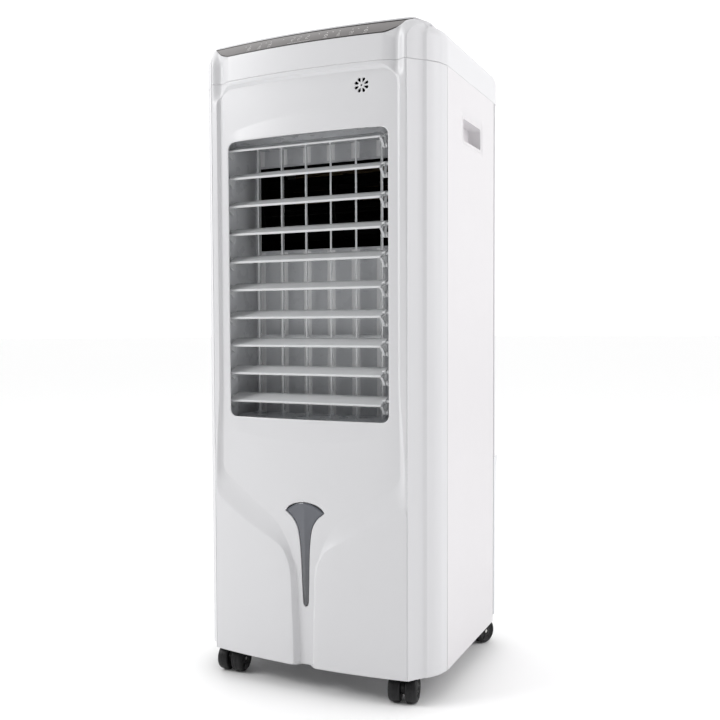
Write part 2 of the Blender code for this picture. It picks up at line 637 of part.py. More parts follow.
def build_blower(M):
    w = 3.0
    scroll = [(-17.4, 609), (20, 614), (50, 620), (75, 634), (90, 655), (95, 680)]
    out_s = [(-17.4, 606), (21, 611), (52, 616.5), (77.5, 631.5), (93, 654), (98, 680)]
    plate = [(-17.8, 604), (22, 609), (54, 614.5), (79.5, 630), (95.5, 653), (100.5, 680), (94, 714), (61, 746), (-17.8, 746)]
    left = bm_prism(plate, 'x', -150.0, -147.0)
    right = bm_prism(plate, 'x', 109.0, 112.0)
    floor = bm_prism(scroll + out_s[::-1], 'x', -148.6, 110.6)
    roof = bm_prism([(-17.4, 741), (8, 741), (26, 737.5), (27, 740.2), (9, 744), (-17.4, 744)], 'x', -148.6, 110.6)
    hl = bm_cyl((-155, FAN_Y, FAN_Z), (1, 0, 0), 5.0, 0, 12, 12)
    hr = bm_cyl((105, FAN_Y, FAN_Z), (1, 0, 0), 5.0, 0, 12, 12)
    combine("blower_housing", left, [(floor, 'UNION'), (roof, 'UNION'), (right, 'UNION'), (hl, 'DIFFERENCE'), (hr, 'DIFFERENCE')],
            None, M["dark"], 30)

    # blower drum: three discs, curved-in blades, shaft
    drum = bm_cyl((FAN_X0, FAN_Y, FAN_Z), (1, 0, 0), FAN_R, 0, 2.5, 24)
    others = [(bm_cyl((-21, FAN_Y, FAN_Z), (1, 0, 0), FAN_R, 0, 2.5, 24), 'UNION'),
              (bm_cyl((FAN_X1 - 2.5, FAN_Y, FAN_Z), (1, 0, 0), FAN_R, 0, 2.5, 24), 'UNION')]
    n = 14
    for k in range(n):
        a = math.tau * (k + 0.5) / n
        ca, sa = math.cos(a), math.sin(a)
        lean = 0.5
        pts = []
        for r, off in ((38.0, -0.8), (48.6, -0.8 + lean * 8), (48.6, 0.8 + lean * 8), (38.0, 0.8)):
            pts.append((FAN_Y + r * ca - off * sa, FAN_Z + r * sa + off * ca))
        others.append((bm_prism(pts, 'x', FAN_X0 + 1.2, FAN_X1 - 1.2), 'UNION'))
    others.append((bm_cyl((-152, FAN_Y, FAN_Z), (1, 0, 0), 4.0, 0, 266, 12), 'UNION'))
    combine("blower_rotor", drum, others, None, M["dark"], 30, (0, FAN_Y, FAN_Z))

    motor = bm_turn([(0, 0), (16, 0), (18, 4), (34, 6), (36, 9), (36, 30), (34, 33), (12, 34), (10, 37), (0, 37)],
                    (114.6, FAN_Y, FAN_Z), (1, 0, 0), 24)
    new_object("blower_motor", motor, M["steel"], 35)
    strap = bm_prism([(-14, 664), (84, 664), (84, 640), (118.4, 640), (118.4, 720), (84, 720), (84, 696), (-14, 696)], 'x', 152.2, 155.0)
    flange = bm_box(152.2, 168.0, 115.6, 118.4, 640, 720)
    combine("motor_bracket", strap, [(flange, 'UNION')], None, M["steel"])


def build_rear(M):
    # grille cap of the cassette
    cap = bm_prism([(SIDE_X, 132.0), (SIDE_X, REAR_Y - 14), (SIDE_X - 4, REAR_Y - 4), (SIDE_X - 14, REAR_Y),
                    (-SIDE_X + 14, REAR_Y), (-SIDE_X + 4, REAR_Y - 4), (-SIDE_X, REAR_Y - 14), (-SIDE_X, 132.0)],
                   'z', 293.8, COVER_Z - GAP)
    cav = bm_box(-SIDE_X + 8, SIDE_X - 8, 120, REAR_Y - 3, 298, 831)
    slots = bmesh.new()
    for i in range(19):
        z = 320 + i * 26.0
        for x0, x1 in ((-160, -4), (4, 160)):
            bm_box(x0, x1, 140, 160, z, z + 13.0, slots)
    combine("rear_grille", cap, [(cav, 'DIFFERENCE'), (slots, 'DIFFERENCE')], None, M["white"], 30)

    net = bm_box(-172, 172, 138.0, 142.0, 300, 828)
    inn = bmesh.new()
    for i in range(4):
        for j in range(5):
            bm_box(-164 + i * 83, -164 + i * 83 + 79, 130, 150, 308 + j * 103, 308 + j * 103 + 99, inn)
    combine("dust_net", net, [(inn, 'DIFFERENCE')], None, M["net"])

    pad = bm_box(-150, 150, 104.0, 137.4, 312, 800)
    new_object("cooling_pad", pad, M["pad"])

    tray = bm_box(-152, 152, 86, 118.4, 806.6, 828)
    tcav = bm_box(-149.5, 149.5, 88.5, 116, 809.5, 840)
    drips = bmesh.new()
    for k in range(9):
        bm_box(-122 + k * 30 - 3, -122 + k * 30 + 3, 106, 114, 800, 815, drips)
    combine("water_tray", tray, [(tcav, 'DIFFERENCE'), (drips, 'DIFFERENCE')], None, M["grey"])


def build_tank(M):
    # drawer body and outer fascia as one moulding
    fas = bm_prism([(132.0, FASCIA_Z0), (137.6, FASCIA_Z0), (143.5, 276.0), (151.0, FASCIA_Z1), (132.0, FASCIA_Z1)], 'x', -SIDE_X, SIDE_X)
    pocket = bm_prism([(120.0, FASCIA_Z0 + 3), (134.8, FASCIA_Z0 + 3), (140.6, 277.0), (147.0, FASCIA_Z1 - 3), (120.0, FASCIA_Z1 - 3)],
                      'x', -SIDE_X + 3, SIDE_X - 3)
    def tub(x, y0, cx, cy, y1):
        return [(-x, y1), (-x, y0 + cy), (-x + cx, y0), (x - cx, y0), (x, y0 + cy), (x, y1)]
    body = bm_prism(tub(TANK_X, TANK_Y0, 22, 28, 136.5), 'z', TANK_Z0, TANK_Z1)
    cav = bm_prism(tub(TANK_X - 2.6, TANK_Y0 + 2.6, 21, 27, 131.5), 'z', TANK_Z0 + 2.6, TANK_Z1 + 40)
    boss = bm_box(-66, 66, 124, 138.5, 186, 246)
    grip = bm_prism(rounded_rect(-58, 58, 194, 238, 10, 3), 'y', 128, 160)
    hole = bm_cyl((120, 120, 92), (0, 1, 0), 8.4, 0, 40, 16)
    bossd = bm_cyl((120, 126, 92), (0, 1, 0), 13.0, 0, 11.0, 16)
    latch = bmesh.new()
    for x in (-150, 150):
        bm_cyl((x, 120, 261), (0, 1, 0), 3.6, 0, 40, 12, latch)
    combine("tank", fas, [(pocket, 'DIFFERENCE'), (body, 'UNION'), (cav, 'DIFFERENCE'), (boss, 'UNION'), (bossd, 'UNION'),
                          (grip, 'DIFFERENCE'), (hole, 'DIFFERENCE'), (latch, 'DIFFERENCE')], None, M["tank"])

    for side, x in (("right", 150), ("left", -150)):
        knob = bm_turn([(0, 0), (11.5, 0), (11.5, 3.4), (10.5, 4.4), (0, 4.4)], (x, 144.2, 261), (0, 1, 0), 20)
        grip = bm_box(x - 9.5, x + 9.5, 148.0, 151.6, 259, 263)
        shaft = bm_cyl((x, 133.0, 261), (0, 1, 0), 3.1, 0, 13, 10)
        combine("tank_latch_" + side, knob, [(grip, 'UNION'), (shaft, 'UNION')], None, M["grey"], 30, (x, 148, 261))

    plug = bm_turn([(0, 0), (7.8, 0), (8.0, 1.0), (8.0, 13.6), (12.5, 13.6), (12.5, 17.6), (11.5, 18.6), (0, 18.6)],
                   (120, 126.6, 92), (0, 1, 0), 20)
    new_object("drain_plug", plug, M["black"], 35, (120, 140, 92))

    # pump hung from the rear frame, and its hose up to the tray
    pump = bm_prism(rounded_rect(88, 136, 74, 110, 8, 2), 'y', 58, 98)
    hang = bm_box(102, 122, 115.6, 118.6, 96, 300)
    foot = bm_box(102, 122, 96, 118.0, 96, 99)
    noz = bm_cyl((112, 78, 108), (0, 0, 1), 5.0, 0, 10, 12)
    combine("pump", pump, [(hang, 'UNION'), (foot, 'UNION'), (noz, 'UNION')], None, M["black"])


def build_hose(M):
    cu = bpy.data.curves.new("pump_hose", 'CURVE')
    cu.dimensions = '3D'
    key = [(112, 78, 118.6), (112, 78, 150), (114, 78, 220), (140, 76, 300), (164, 74, 380), (167, 74, 520),
           (167, 74, 640), (167, 76, 740), (166, 82, 800), (162, 92, 826), (150, 101, 836), (138, 101, 833.0)]
    pts = []
    n = len(key)
    for i in range(n - 1):
        p0, p1, p2, p3 = (Vector(key[max(0, i - 1)]), Vector(key[i]), Vector(key[i + 1]), Vector(key[min(n - 1, i + 2)]))
        steps = 3
        for k in range(steps):
            t = k / steps
            pts.append(0.5 * ((2 * p1) + (p2 - p0) * t + (2 * p0 - 5 * p1 + 4 * p2 - p3) * t * t + (3 * p1 - p0 - 3 * p2 + p3) * t ** 3))
    pts.append(Vector(key[-1]))
    sp = cu.splines.new('POLY')
    sp.points.add(len(pts) - 1)
    for p, q in zip(sp.points, pts):
        v = V(*q)
        p.co = (v.x, v.y, v.z, 1.0)
    cu.bevel_depth = 0.0045
    cu.bevel_resolution = 2
    cu.resolution_u = 1
    cu.render_resolution_u = 0
    cu.use_fill_caps = True
    ob = bpy.data.objects.new("pump_hose", cu)
    cu.materials.append(M["hose"])
    bpy.context.scene.collection.objects.link(ob)


def build_small(M):
    board = bm_box(-62, 62, -112, -70, 862.0, 863.6)
    posts = []
    for x in (-56, 56):
        for y in (-106, -76):
            posts.append((bm_cyl((x, y, 863), (0, 0, 1), 3.0, 0, 17.6, 8), 'UNION'))
    posts.append((bm_box(-20, 12, -98, -82, 857, 863), 'UNION'))
    posts.append((bm_box(24, 44, -104, -92, 854, 863), 'UNION'))
    combine("control_board", board, posts, None, M["board"])

    gland = bm_turn([(3.6, -6), (6.2, -6), (6.2, 0.3), (9.5, 0.3), (9.5, 2.6), (6.8, 3.6), (5.4, 5.0), (3.6, 5.0)],
                    (140, 152, 852), (0, 1, 0), 20)
    new_object("cord_gland", gland, M["black"], 40)


def heading_frame(h):
    """Unit vectors of a caster: along its trail and along its axle."""
    a = math.radians(h)
    t = Vector((-math.sin(a), math.cos(a), 0))
    return t, Vector((t.y, -t.x, 0))


def build_casters(M):
    for name, sx, sy, h in CASTERS:
        t, ax = heading_frame(h)
        cx, cy = sx + t.x * TRAIL, sy + t.y * TRAIL

        def local(u, w, z):
            """u along the trail from the swivel, w along the axle."""
            return V(sx + t.x * u + ax.x * w, sy + t.y * u + ax.y * w, z)

        def plate(poly, w0, w1):
            bm = bmesh.new()
            lo = [bm.verts.new(local(u, w0, z)) for u, z in poly]
            hi = [bm.verts.new(local(u, w1, z)) for u, z in poly]
            bm.faces.new(lo)
            bm.faces.new(hi[::-1])
            n = len(poly)
            for i in range(n):
                bm.faces.new((lo[i], hi[i], hi[(i + 1) % n], lo[(i + 1) % n]))
            bmesh.ops.recalc_face_normals(bm, faces=bm.faces)
            return bm
        zc = WHEEL_R
        web = [(TRAIL - 9, zc - 4), (TRAIL, zc - 9), (TRAIL + 9, zc - 4), (TRAIL + 13, zc + 6), (TRAIL + 7, zc + 15),
               (TRAIL - 2, zc + 20.5), (-6, zc + 22), (-8, zc + 16), (-6, zc + 6)]
        first = plate(web, -2.8, 2.8)
        fender = []
        n = 7
        a0, a1 = math.radians(56), math.radians(158)
        for k in range(n + 1):
            a = a0 + (a1 - a0) * k / n
            fender.append((TRAIL + 21.6 * math.cos(a), zc + 21.6 * math.sin(a)))
        for k in range(n, -1, -1):
            a = a0 + (a1 - a0) * k / n
            fender.append((TRAIL + 19.4 * math.cos(a), zc + 19.4 * math.sin(a)))
        hood = plate(fender, -8.0, 8.0)
        neck = bm_turn([(0, 35.8), (7.0, 35.8), (7.6, 39), (7.6, 46.0), (0, 46.0)], (sx, sy, 0), (0, 0, 1), 10)
        stem = bm_cyl((sx, sy, 0), (0, 0, 1), 4.8, 44, 63.0, 10)
        axle = bm_turn([(0, -18.6), (2.8, -18.6), (2.8, 18.6), (0, 18.6)], (cx, cy, zc), ax, 8)
        combine("caster_body_" + name, first, [(hood, 'UNION'), (neck, 'UNION'), (stem, 'UNION'), (axle, 'UNION')],
                None, M["black"], 35, (sx, sy, zc))
        for tag, sg in (("a", 1), ("b", -1)):
            prof = [(3.2, sg * WHEEL_IN), (17.4, sg * WHEEL_IN), (WHEEL_R, sg * (WHEEL_IN + 1.6)), (WHEEL_R, sg * (WHEEL_OUT - 5.5)),
                    (16.4, sg * (WHEEL_OUT - 1.4)), (13.6, sg * WHEEL_OUT), (3.2, sg * (WHEEL_OUT - 1.8))]
            new_object("caster_wheel_%s_%s" % (name, tag), bm_turn(prof, (cx, cy, zc), ax, 20), M["black"], 40, (cx, cy, zc))
        if name.startswith("rear"):
            # brake lever: a short pedal behind the fender
            ped = plate([(TRAIL + 13.6, zc + 14.4), (TRAIL + 24.6, zc + 8.6), (TRAIL + 26.0, zc + 10.0), (TRAIL + 26.0, zc + 11.8), (TRAIL + 14.8, zc + 17.0)], -7.0, 7.0)
            new_object("brake_lever_" + name, ped, M["black"], 35, (sx + t.x * (TRAIL + 14.2), sy + t.y * (TRAIL + 14.2), zc + 15.8))


def main():
    clear_scene()
    M = mats()
    build_shells(M)
    build_duct(M)
    build_louvres(M)
    build_vanes(M)
    build_blower(M)
    build_rear(M)
    build_tank(M)
    build_hose(M)
    build_small(M)
    build_casters(M)


main()
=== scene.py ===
"""Looks of the tower evaporative cooler: fine moulded shells, glossy panel,
rounded blades, casters, rear cassette and tank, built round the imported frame.

Design numbers are millimetres in the maker's frame; D() turns them into metres
in the shared frame.
"""
import bpy
import bmesh
import math
import numpy as np
from mathutils import Vector, Matrix
from mathutils.geometry import delaunay_2d_cdt


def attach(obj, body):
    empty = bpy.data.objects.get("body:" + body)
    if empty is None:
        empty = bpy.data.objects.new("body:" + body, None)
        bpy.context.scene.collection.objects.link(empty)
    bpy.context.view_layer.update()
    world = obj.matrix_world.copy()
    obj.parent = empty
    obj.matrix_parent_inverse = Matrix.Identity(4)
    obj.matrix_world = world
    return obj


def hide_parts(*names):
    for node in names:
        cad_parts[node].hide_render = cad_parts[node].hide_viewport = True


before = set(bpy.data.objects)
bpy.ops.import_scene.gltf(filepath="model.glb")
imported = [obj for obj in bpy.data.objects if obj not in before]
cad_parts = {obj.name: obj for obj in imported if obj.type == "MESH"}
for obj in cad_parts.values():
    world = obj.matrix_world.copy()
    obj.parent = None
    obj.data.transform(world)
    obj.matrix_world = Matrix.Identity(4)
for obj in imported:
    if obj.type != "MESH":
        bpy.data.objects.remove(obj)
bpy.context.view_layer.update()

# ------------------------------------------------------------------ constants
YS = -3.765
BOW, FRONT_Y, CREASE_X, SIDE_X = 12.0, -154.4, 148.0, 182.4
SEAM_Y, PANEL_REAR_Y, REAR_Y = -86.4, 131.6, 152.0
CORNER = [(148.0, -142.4), (156.8, -131.2), (161.4, -125.4), (166.4, -122.0),
          (174.0, -111.6), (178.8, -102.0), (181.2, -93.0), (182.4, -86.4)]
SKIRT_Z, COVER_Z = 35.8, 836.0
RECESS = 4.5
OPEN_X, OPEN_Z0, OPEN_Z1, OPEN_R = 121.0, 371.2, 753.0, 9.5
PITCH, L_PITCH, LIP_Y, LIP_Z, TILT, CHORD = 40.0, 39.0, -133.5, 741.5, math.radians(24.0), 28.0
BLADE_X0, BLADE_X1 = -129.4, 107.4
PIVOT_Y, PIVOT_DZ, CRANK_R = -120.0, 6.8, 14.5
VANE_Y0, VANE_Y1, VANE_PIVOT_Y, VANE_Z0, VANE_Z1, VANE_LINK_Z, VANE_PIN_Y = -67.2, -31.0, -64.6, 368.5, 761.5, 481.6, -37.5
DUCT_X, DUCT_Y0, DUCT_Y1, DUCT_Z0, DUCT_Z1 = 153.4, -130.0, -18.4, 363.0, 767.0
OUT_X0, OUT_X1, OUT_Z0, OUT_Z1 = -146.0, 108.0, 612.4, 738.0
WHEEL_R, WHEEL_IN, WHEEL_OUT, TRAIL = 18.5, 3.2, 20.0, 17.0
CASTERS = [("front_right", 131.0, -106.0, 192.0), ("front_left", -131.0, -106.0, 183.0),
           ("rear_right", 148.0, 120.0, -25.0), ("rear_left", -148.0, 120.0, 25.0)]


def D(x, y, z):
    return Vector((x * 0.001, (y + YS) * 0.001, z * 0.001))


# ------------------------------------------------------------------ materials
def nodes_of(name):
    m = bpy.data.materials.new(name)
    m.use_nodes = True
    nt = m.node_tree
    return m, nt, nt.nodes["Principled BSDF"]


def link(nt, a, b):
    nt.links.new(a, b)


def plastic(name, rgb, rough, spec=0.5, var=0.012, bump=0.02, grain=900.0, coat=0.0, metal=0.0, mottle=9.0, sheen=None, sss=0.0):
    """Moulded plastic: slow colour drift, fine surface grain and uneven gloss."""
    m, nt, b = nodes_of(name)
    tc = nt.nodes.new("ShaderNodeTexCoord")
    n1 = nt.nodes.new("ShaderNodeTexNoise")
    n1.inputs["Scale"].default_value = mottle
    n1.inputs["Detail"].default_value = 5.0
    link(nt, tc.outputs["Object"], n1.inputs["Vector"])
    ramp = nt.nodes.new("ShaderNodeMix")
    ramp.data_type = 'RGBA'
    lo = tuple(max(0.0, c * (1.0 - var * 2)) for c in rgb) + (1.0,)
    hi = tuple(min(1.0, c * (1.0 + var)) for c in rgb) + (1.0,)
    ramp.inputs["A"].default_value = lo
    ramp.inputs["B"].default_value = hi
    link(nt, n1.outputs["Fac"], ramp.inputs["Factor"])
    link(nt, ramp.outputs["Result"], b.inputs["Base Color"])
    n2 = nt.nodes.new("ShaderNodeTexNoise")
    n2.inputs["Scale"].default_value = grain
    n2.inputs["Detail"].default_value = 3.0
    link(nt, tc.outputs["Object"], n2.inputs["Vector"])
    mr = nt.nodes.new("ShaderNodeMapRange")
    mr.inputs["To Min"].default_value = max(0.02, rough - 0.05)
    mr.inputs["To Max"].default_value = min(1.0, rough + 0.06)
    n3 = nt.nodes.new("ShaderNodeTexNoise")
    n3.inputs["Scale"].default_value = 45.0
    n3.inputs["Detail"].default_value = 4.0
    link(nt, tc.outputs["Object"], n3.inputs["Vector"])
    link(nt, n3.outputs["Fac"], mr.inputs["Value"])
    link(nt, mr.outputs["Result"], b.inputs["Roughness"])
    bp = nt.nodes.new("ShaderNodeBump")
    bp.inputs["Strength"].default_value = bump
    bp.inputs["Distance"].default_value = 0.0004
    link(nt, n2.outputs["Fac"], bp.inputs["Height"])
    link(nt, bp.outputs["Normal"], b.inputs["Normal"])
    b.inputs["Specular IOR Level"].default_value = spec
    b.inputs["Coat Weight"].default_value = coat
    b.inputs["Coat Roughness"].default_value = 0.08
    b.inputs["Metallic"].default_value = metal
    if sss:
        b.inputs["Subsurface Weight"].default_value = sss
        b.inputs["Subsurface Radius"].default_value = (0.004, 0.004, 0.004)
    return m


M = {}
M["white"] = plastic("abs_white", (0.70, 0.70, 0.715), 0.34, var=0.006, bump=0.03)
# copy of the white plastic for the side panels, a shade darker and warmer for how the side is lit: painted shade
M["side"] = plastic("abs_white_side", (0.70, 0.685, 0.70), 0.36, var=0.006, bump=0.03)
M["blade"] = plastic("abs_blade", (0.68, 0.69, 0.70), 0.22, var=0.02, bump=0.02)
M["vane"] = plastic("abs_vane", (0.88, 0.89, 0.90), 0.24, var=0.02, bump=0.02)
M["duct"] = plastic("abs_duct", (0.73, 0.74, 0.76), 0.28, var=0.05, bump=0.06, grain=500)
# brighter copy of the duct plastic for the back-wall ribs: painted light, standing in for the bands of light between
# the vanes
M["rib"] = plastic("abs_duct_rib_painted_light", (0.96, 0.965, 0.975), 0.36, var=0.04, bump=0.05, grain=500)
M["grey"] = plastic("abs_grey", (0.30, 0.30, 0.31), 0.45, var=0.04, bump=0.08, grain=600)
M["black"] = plastic("nylon_black", (0.006, 0.006, 0.0065), 0.36, var=0.2, bump=0.05, grain=700)
M["tread"] = plastic("nylon_tread", (0.012, 0.012, 0.013), 0.45, var=0.25, bump=0.25, grain=1400)
# black plastic of the blower; behind the vent the same near-black is painted shade
M["dark"] = plastic("blower_black_and_vent_shade", (0.0025, 0.0025, 0.0025), 0.7, var=0.2, bump=0.05)
for _k, _v in (("black", 0.24), ("tread", 0.3), ("dark", 0.06)):
    for _n in M[_k].node_tree.nodes:
        if _n.type == 'BSDF_PRINCIPLED':
            _n.inputs["Specular IOR Level"].default_value = _v
M["tank"] = plastic("tank_pp", (0.74, 0.755, 0.77), 0.3, var=0.01, bump=0.04, sss=0.05)
M["hose"] = plastic("silicone", (0.68, 0.68, 0.65), 0.35, var=0.03, bump=0.04, sss=0.1)
# black rubber; under the lid's front corners the same material is painted shade in the gap
M["rubber"] = plastic("rubber_and_gap_shade", (0.03, 0.03, 0.032), 0.7, var=0.1, bump=0.1)


def brushed(name, rgb, rough, scale=(4, 4, 900)):
    m, nt, b = nodes_of(name)
    tc = nt.nodes.new("ShaderNodeTexCoord")
    mp = nt.nodes.new("ShaderNodeMapping")
    mp.inputs["Scale"].default_value = scale
    n = nt.nodes.new("ShaderNodeTexNoise")
    n.inputs["Scale"].default_value = 3.0
    n.inputs["Detail"].default_value = 6.0
    link(nt, tc.outputs["Object"], mp.inputs["Vector"])
    link(nt, mp.outputs["Vector"], n.inputs["Vector"])
    mix = nt.nodes.new("ShaderNodeMix")
    mix.data_type = 'RGBA'
    mix.inputs["A"].default_value = tuple(c * 0.8 for c in rgb) + (1,)
    mix.inputs["B"].default_value = tuple(min(1, c * 1.1) for c in rgb) + (1,)
    link(nt, n.outputs["Fac"], mix.inputs["Factor"])
    link(nt, mix.outputs["Result"], b.inputs["Base Color"])
    mr = nt.nodes.new("ShaderNodeMapRange")
    mr.inputs["To Min"].default_value = rough - 0.08
    mr.inputs["To Max"].default_value = rough + 0.1
    link(nt, n.outputs["Fac"], mr.inputs["Value"])
    link(nt, mr.outputs["Result"], b.inputs["Roughness"])
    b.inputs["Metallic"].default_value = 1.0
    return m


M["steel"] = brushed("zinc_plate", (0.62, 0.62, 0.6), 0.34)
M["screw"] = brushed("screw_zinc", (0.5, 0.5, 0.49), 0.3, (200, 200, 200))


def panel_material():
    """Deep gloss touch panel: warm grey with a slow vertical drift."""
    m, nt, b = nodes_of("panel_gloss")
    tc = nt.nodes.new("ShaderNodeTexCoord")
    sep = nt.nodes.new("ShaderNodeSeparateXYZ")
    link(nt, tc.outputs["Object"], sep.inputs["Vector"])
    mr = nt.nodes.new("ShaderNodeMapRange")
    mr.inputs["From Min"].default_value = 0.868
    mr.inputs["From Max"].default_value = 0.893
    link(nt, sep.outputs["Z"], mr.inputs["Value"])
    n = nt.nodes.new("ShaderNodeTexNoise")
    n.inputs["Scale"].default_value = 700.0
    link(nt, tc.outputs["Object"], n.inputs["Vector"])
    add = nt.nodes.new("ShaderNodeMath")
    add.operation = 'MULTIPLY_ADD'
    add.inputs[1].default_value = 0.25
    link(nt, n.outputs["Fac"], add.inputs[0])
    link(nt, mr.outputs["Result"], add.inputs[2])
    mix = nt.nodes.new("ShaderNodeMix")
    mix.data_type = 'RGBA'
    mix.inputs["A"].default_value = (0.128, 0.118, 0.116, 1)
    mix.inputs["B"].default_value = (0.162, 0.151, 0.149, 1)
    link(nt, add.outputs["Value"], mix.inputs["Factor"])
    link(nt, mix.outputs["Result"], b.inputs["Base Color"])
    b.inputs["Roughness"].default_value = 0.28
    b.inputs["Coat Weight"].default_value = 0.12
    b.inputs["Coat Roughness"].default_value = 0.12
    return m


M["panel"] = panel_material()
M["panel_rim"] = plastic("panel_rim", (0.02, 0.018, 0.018), 0.4, var=0.05, bump=0.02)
M["icon"] = plastic("icon_print", (0.62, 0.61, 0.60), 0.4, var=0.02, bump=0.0)


def smoke_material():
    m, nt, b = nodes_of("smoke_lens")
    tc = nt.nodes.new("ShaderNodeTexCoord")
    sep = nt.nodes.new("ShaderNodeSeparateXYZ")
    link(nt, tc.outputs["Object"], sep.inputs["Vector"])
    mr = nt.nodes.new("ShaderNodeMapRange")
    mr.inputs["From Min"].default_value = 0.115
    mr.inputs["From Max"].default_value = 0.258
    link(nt, sep.outputs["Z"], mr.inputs["Value"])
    n = nt.nodes.new("ShaderNodeTexNoise")
    n.inputs["Scale"].default_value = 60.0
    n.inputs["Detail"].default_value = 4.0
    link(nt, tc.outputs["Object"], n.inputs["Vector"])
    add = nt.nodes.new("ShaderNodeMath")
    add.operation = 'MULTIPLY_ADD'
    add.inputs[1].default_value = 0.3
    link(nt, n.outputs["Fac"], add.inputs[0])
    link(nt, mr.outputs["Result"], add.inputs[2])
    mix = nt.nodes.new("ShaderNodeMix")
    mix.data_type = 'RGBA'
    mix.inputs["A"].default_value = (0.066, 0.067, 0.071, 1)
    mix.inputs["B"].default_value = (0.092, 0.098, 0.118, 1)
    link(nt, add.outputs["Value"], mix.inputs["Factor"])
    link(nt, mix.outputs["Result"], b.inputs["Base Color"])
    b.inputs["Roughness"].default_value = 0.16
    b.inputs["Coat Weight"].default_value = 0.6
    b.inputs["Coat Roughness"].default_value = 0.05
    return m


M["smoke"] = smoke_material()


def weave_material(name, rgb_a, rgb_b, scale, rough):
    m, nt, b = nodes_of(name)
    tc = nt.nodes.new("ShaderNodeTexCoord")
    w1 = nt.nodes.new("ShaderNodeTexWave")
    w1.wave_type = 'BANDS'
    w1.bands_direction = 'X'
    w1.inputs["Scale"].default_value = scale
    w2 = nt.nodes.new("ShaderNodeTexWave")
    w2.wave_type = 'BANDS'
    w2.bands_direction = 'Z'
    w2.inputs["Scale"].default_value = scale
    mx = nt.nodes.new("ShaderNodeMath")
    mx.operation = 'MAXIMUM'
    for w in (w1, w2):
        link(nt, tc.outputs["Object"], w.inputs["Vector"])
    link(nt, w1.outputs["Fac"], mx.inputs[0])
    link(nt, w2.outputs["Fac"], mx.inputs[1])
    mix = nt.nodes.new("ShaderNodeMix")
    mix.data_type = 'RGBA'
    mix.inputs["A"].default_value = rgb_a + (1,)
    mix.inputs["B"].default_value = rgb_b + (1,)
    link(nt, mx.outputs["Value"], mix.inputs["Factor"])
    link(nt, mix.outputs["Result"], b.inputs["Base Color"])
    bp = nt.nodes.new("ShaderNodeBump")
    bp.inputs["Strength"].default_value = 0.6
    bp.inputs["Distance"].default_value = 0.0006
    link(nt, mx.outputs["Value"], bp.inputs["Height"])
    link(nt, bp.outputs["Normal"], b.inputs["Normal"])
    b.inputs["Roughness"].default_value = rough
    return m


M["net"] = weave_material("filter_net", (0.02, 0.02, 0.022), (0.11, 0.11, 0.12), 260.0, 0.7)
M["pad"] = plastic("cellulose", (0.15, 0.105, 0.055), 0.9, var=0.12, bump=0.8, grain=500, mottle=60)
M["board"] = plastic("solder_mask", (0.03, 0.16, 0.06), 0.4, var=0.1, bump=0.2, grain=1500)


# ------------------------------------------------------------------ mesh tools
def new_mesh(name, verts, faces, mat, body, angle=38.0, flat=False):
    me = bpy.data.meshes.new(name)
    me.from_pydata([tuple(v) for v in verts], [], [tuple(f) for f in faces])
    me.validate()
    return finish_mesh(name, me, mat, body, angle, flat)


def finish_mesh(name, me, mat, body, angle=38.0, flat=False):
    if not flat:
        me.shade_smooth()
        me.set_sharp_from_angle(angle=math.radians(angle))
    ob = bpy.data.objects.new(name, me)
    me.materials.append(mat)
    bpy.context.scene.collection.objects.link(ob)
    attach(ob, body)
    return ob


def from_bm(name, bm, mat, body, angle=38.0, recalc=True):
    if recalc:
        bmesh.ops.recalc_face_normals(bm, faces=bm.faces)
    me = bpy.data.meshes.new(name)
    bm.to_mesh(me)
    bm.free()
    return finish_mesh(name, me, mat, body, angle)


def bm_prism(poly, axis, a, b, bm=None):
    """Polygon given in the two other axes (in x, y, z order), extruded."""
    bm = bm or bmesh.new()

    def at(p, t):
        if axis == 'x':
            return D(t, p[0], p[1])
        if axis == 'y':
            return D(p[0], t, p[1])
        return D(p[0], p[1], t)
    lo = [bm.verts.new(at(p, a)) for p in poly]
    hi = [bm.verts.new(at(p, b)) for p in poly]
    n = len(poly)
    bm.faces.new(lo)
    bm.faces.new(hi[::-1])
    for i in range(n):
        bm.faces.new((lo[i], hi[i], hi[(i + 1) % n], lo[(i + 1) % n]))
    return bm


def bm_box(x0, x1, y0, y1, z0, z1, bm=None):
    return bm_prism([(x0, y0), (x1, y0), (x1, y1), (x0, y1)], 'z', z0, z1, bm)


def bevel(ob, width, segs=3, angle=30.0):
    m = ob.modifiers.new("bevel", 'BEVEL')
    m.width = width * 0.001
    m.segments = segs
    m.limit_method = 'ANGLE'
    m.angle_limit = math.radians(angle)
    m.harden_normals = False
    return ob


def bm_turn(profile, centre, direction, segs, bm=None):
    """Turned solid: profile of (radius, position along the axis)."""
    bm = bm or bmesh.new()
    d = Vector(direction).normalized()
    ref = Vector((0, 0, -1)) if abs(d.z) < 0.9 else Vector((1, 0, 0))
    u = (ref - d * ref.dot(d)).normalized()
    w = d.cross(u)
    c = D(*centre)
    rings = []
    for r, t in profile:
        base = c + d * (t * 0.001)
        if r <= 1e-6:
            rings.append([bm.verts.new(base)])
        else:
            rings.append([bm.verts.new(base + (u * math.cos(math.tau * k / segs) + w * math.sin(math.tau * k / segs)) * (r * 0.001)) for k in range(segs)])
    n = len(rings)
    closed = profile[0][0] > 1e-6
    pairs = [(i, i + 1) for i in range(n - 1)] + ([(n - 1, 0)] if closed else [])
    for i, j in pairs:
        p, q = rings[i], rings[j]
        for k in range(segs):
            k2 = (k + 1) % segs
            if len(p) == 1 and len(q) == 1:
                continue
            if len(p) == 1:
                bm.faces.new((p[0], q[k], q[k2]))
            elif len(q) == 1:
                bm.faces.new((p[k], q[0], p[k2]))
            else:
                bm.faces.new((p[k], q[k], q[k2], p[k2]))
    return bm


def rrect(x0, x1, z0, z1, r, n=6):
    pts = []
    for cx, cz, a0 in ((x1 - r, z0 + r, -90), (x1 - r, z1 - r, 0), (x0 + r, z1 - r, 90), (x0 + r, z0 + r, 180)):
        for k in range(n + 1):
            a = math.radians(a0 + 90.0 * k / n)
            pts.append((cx + r * math.cos(a), cz + r * math.sin(a)))
    return pts


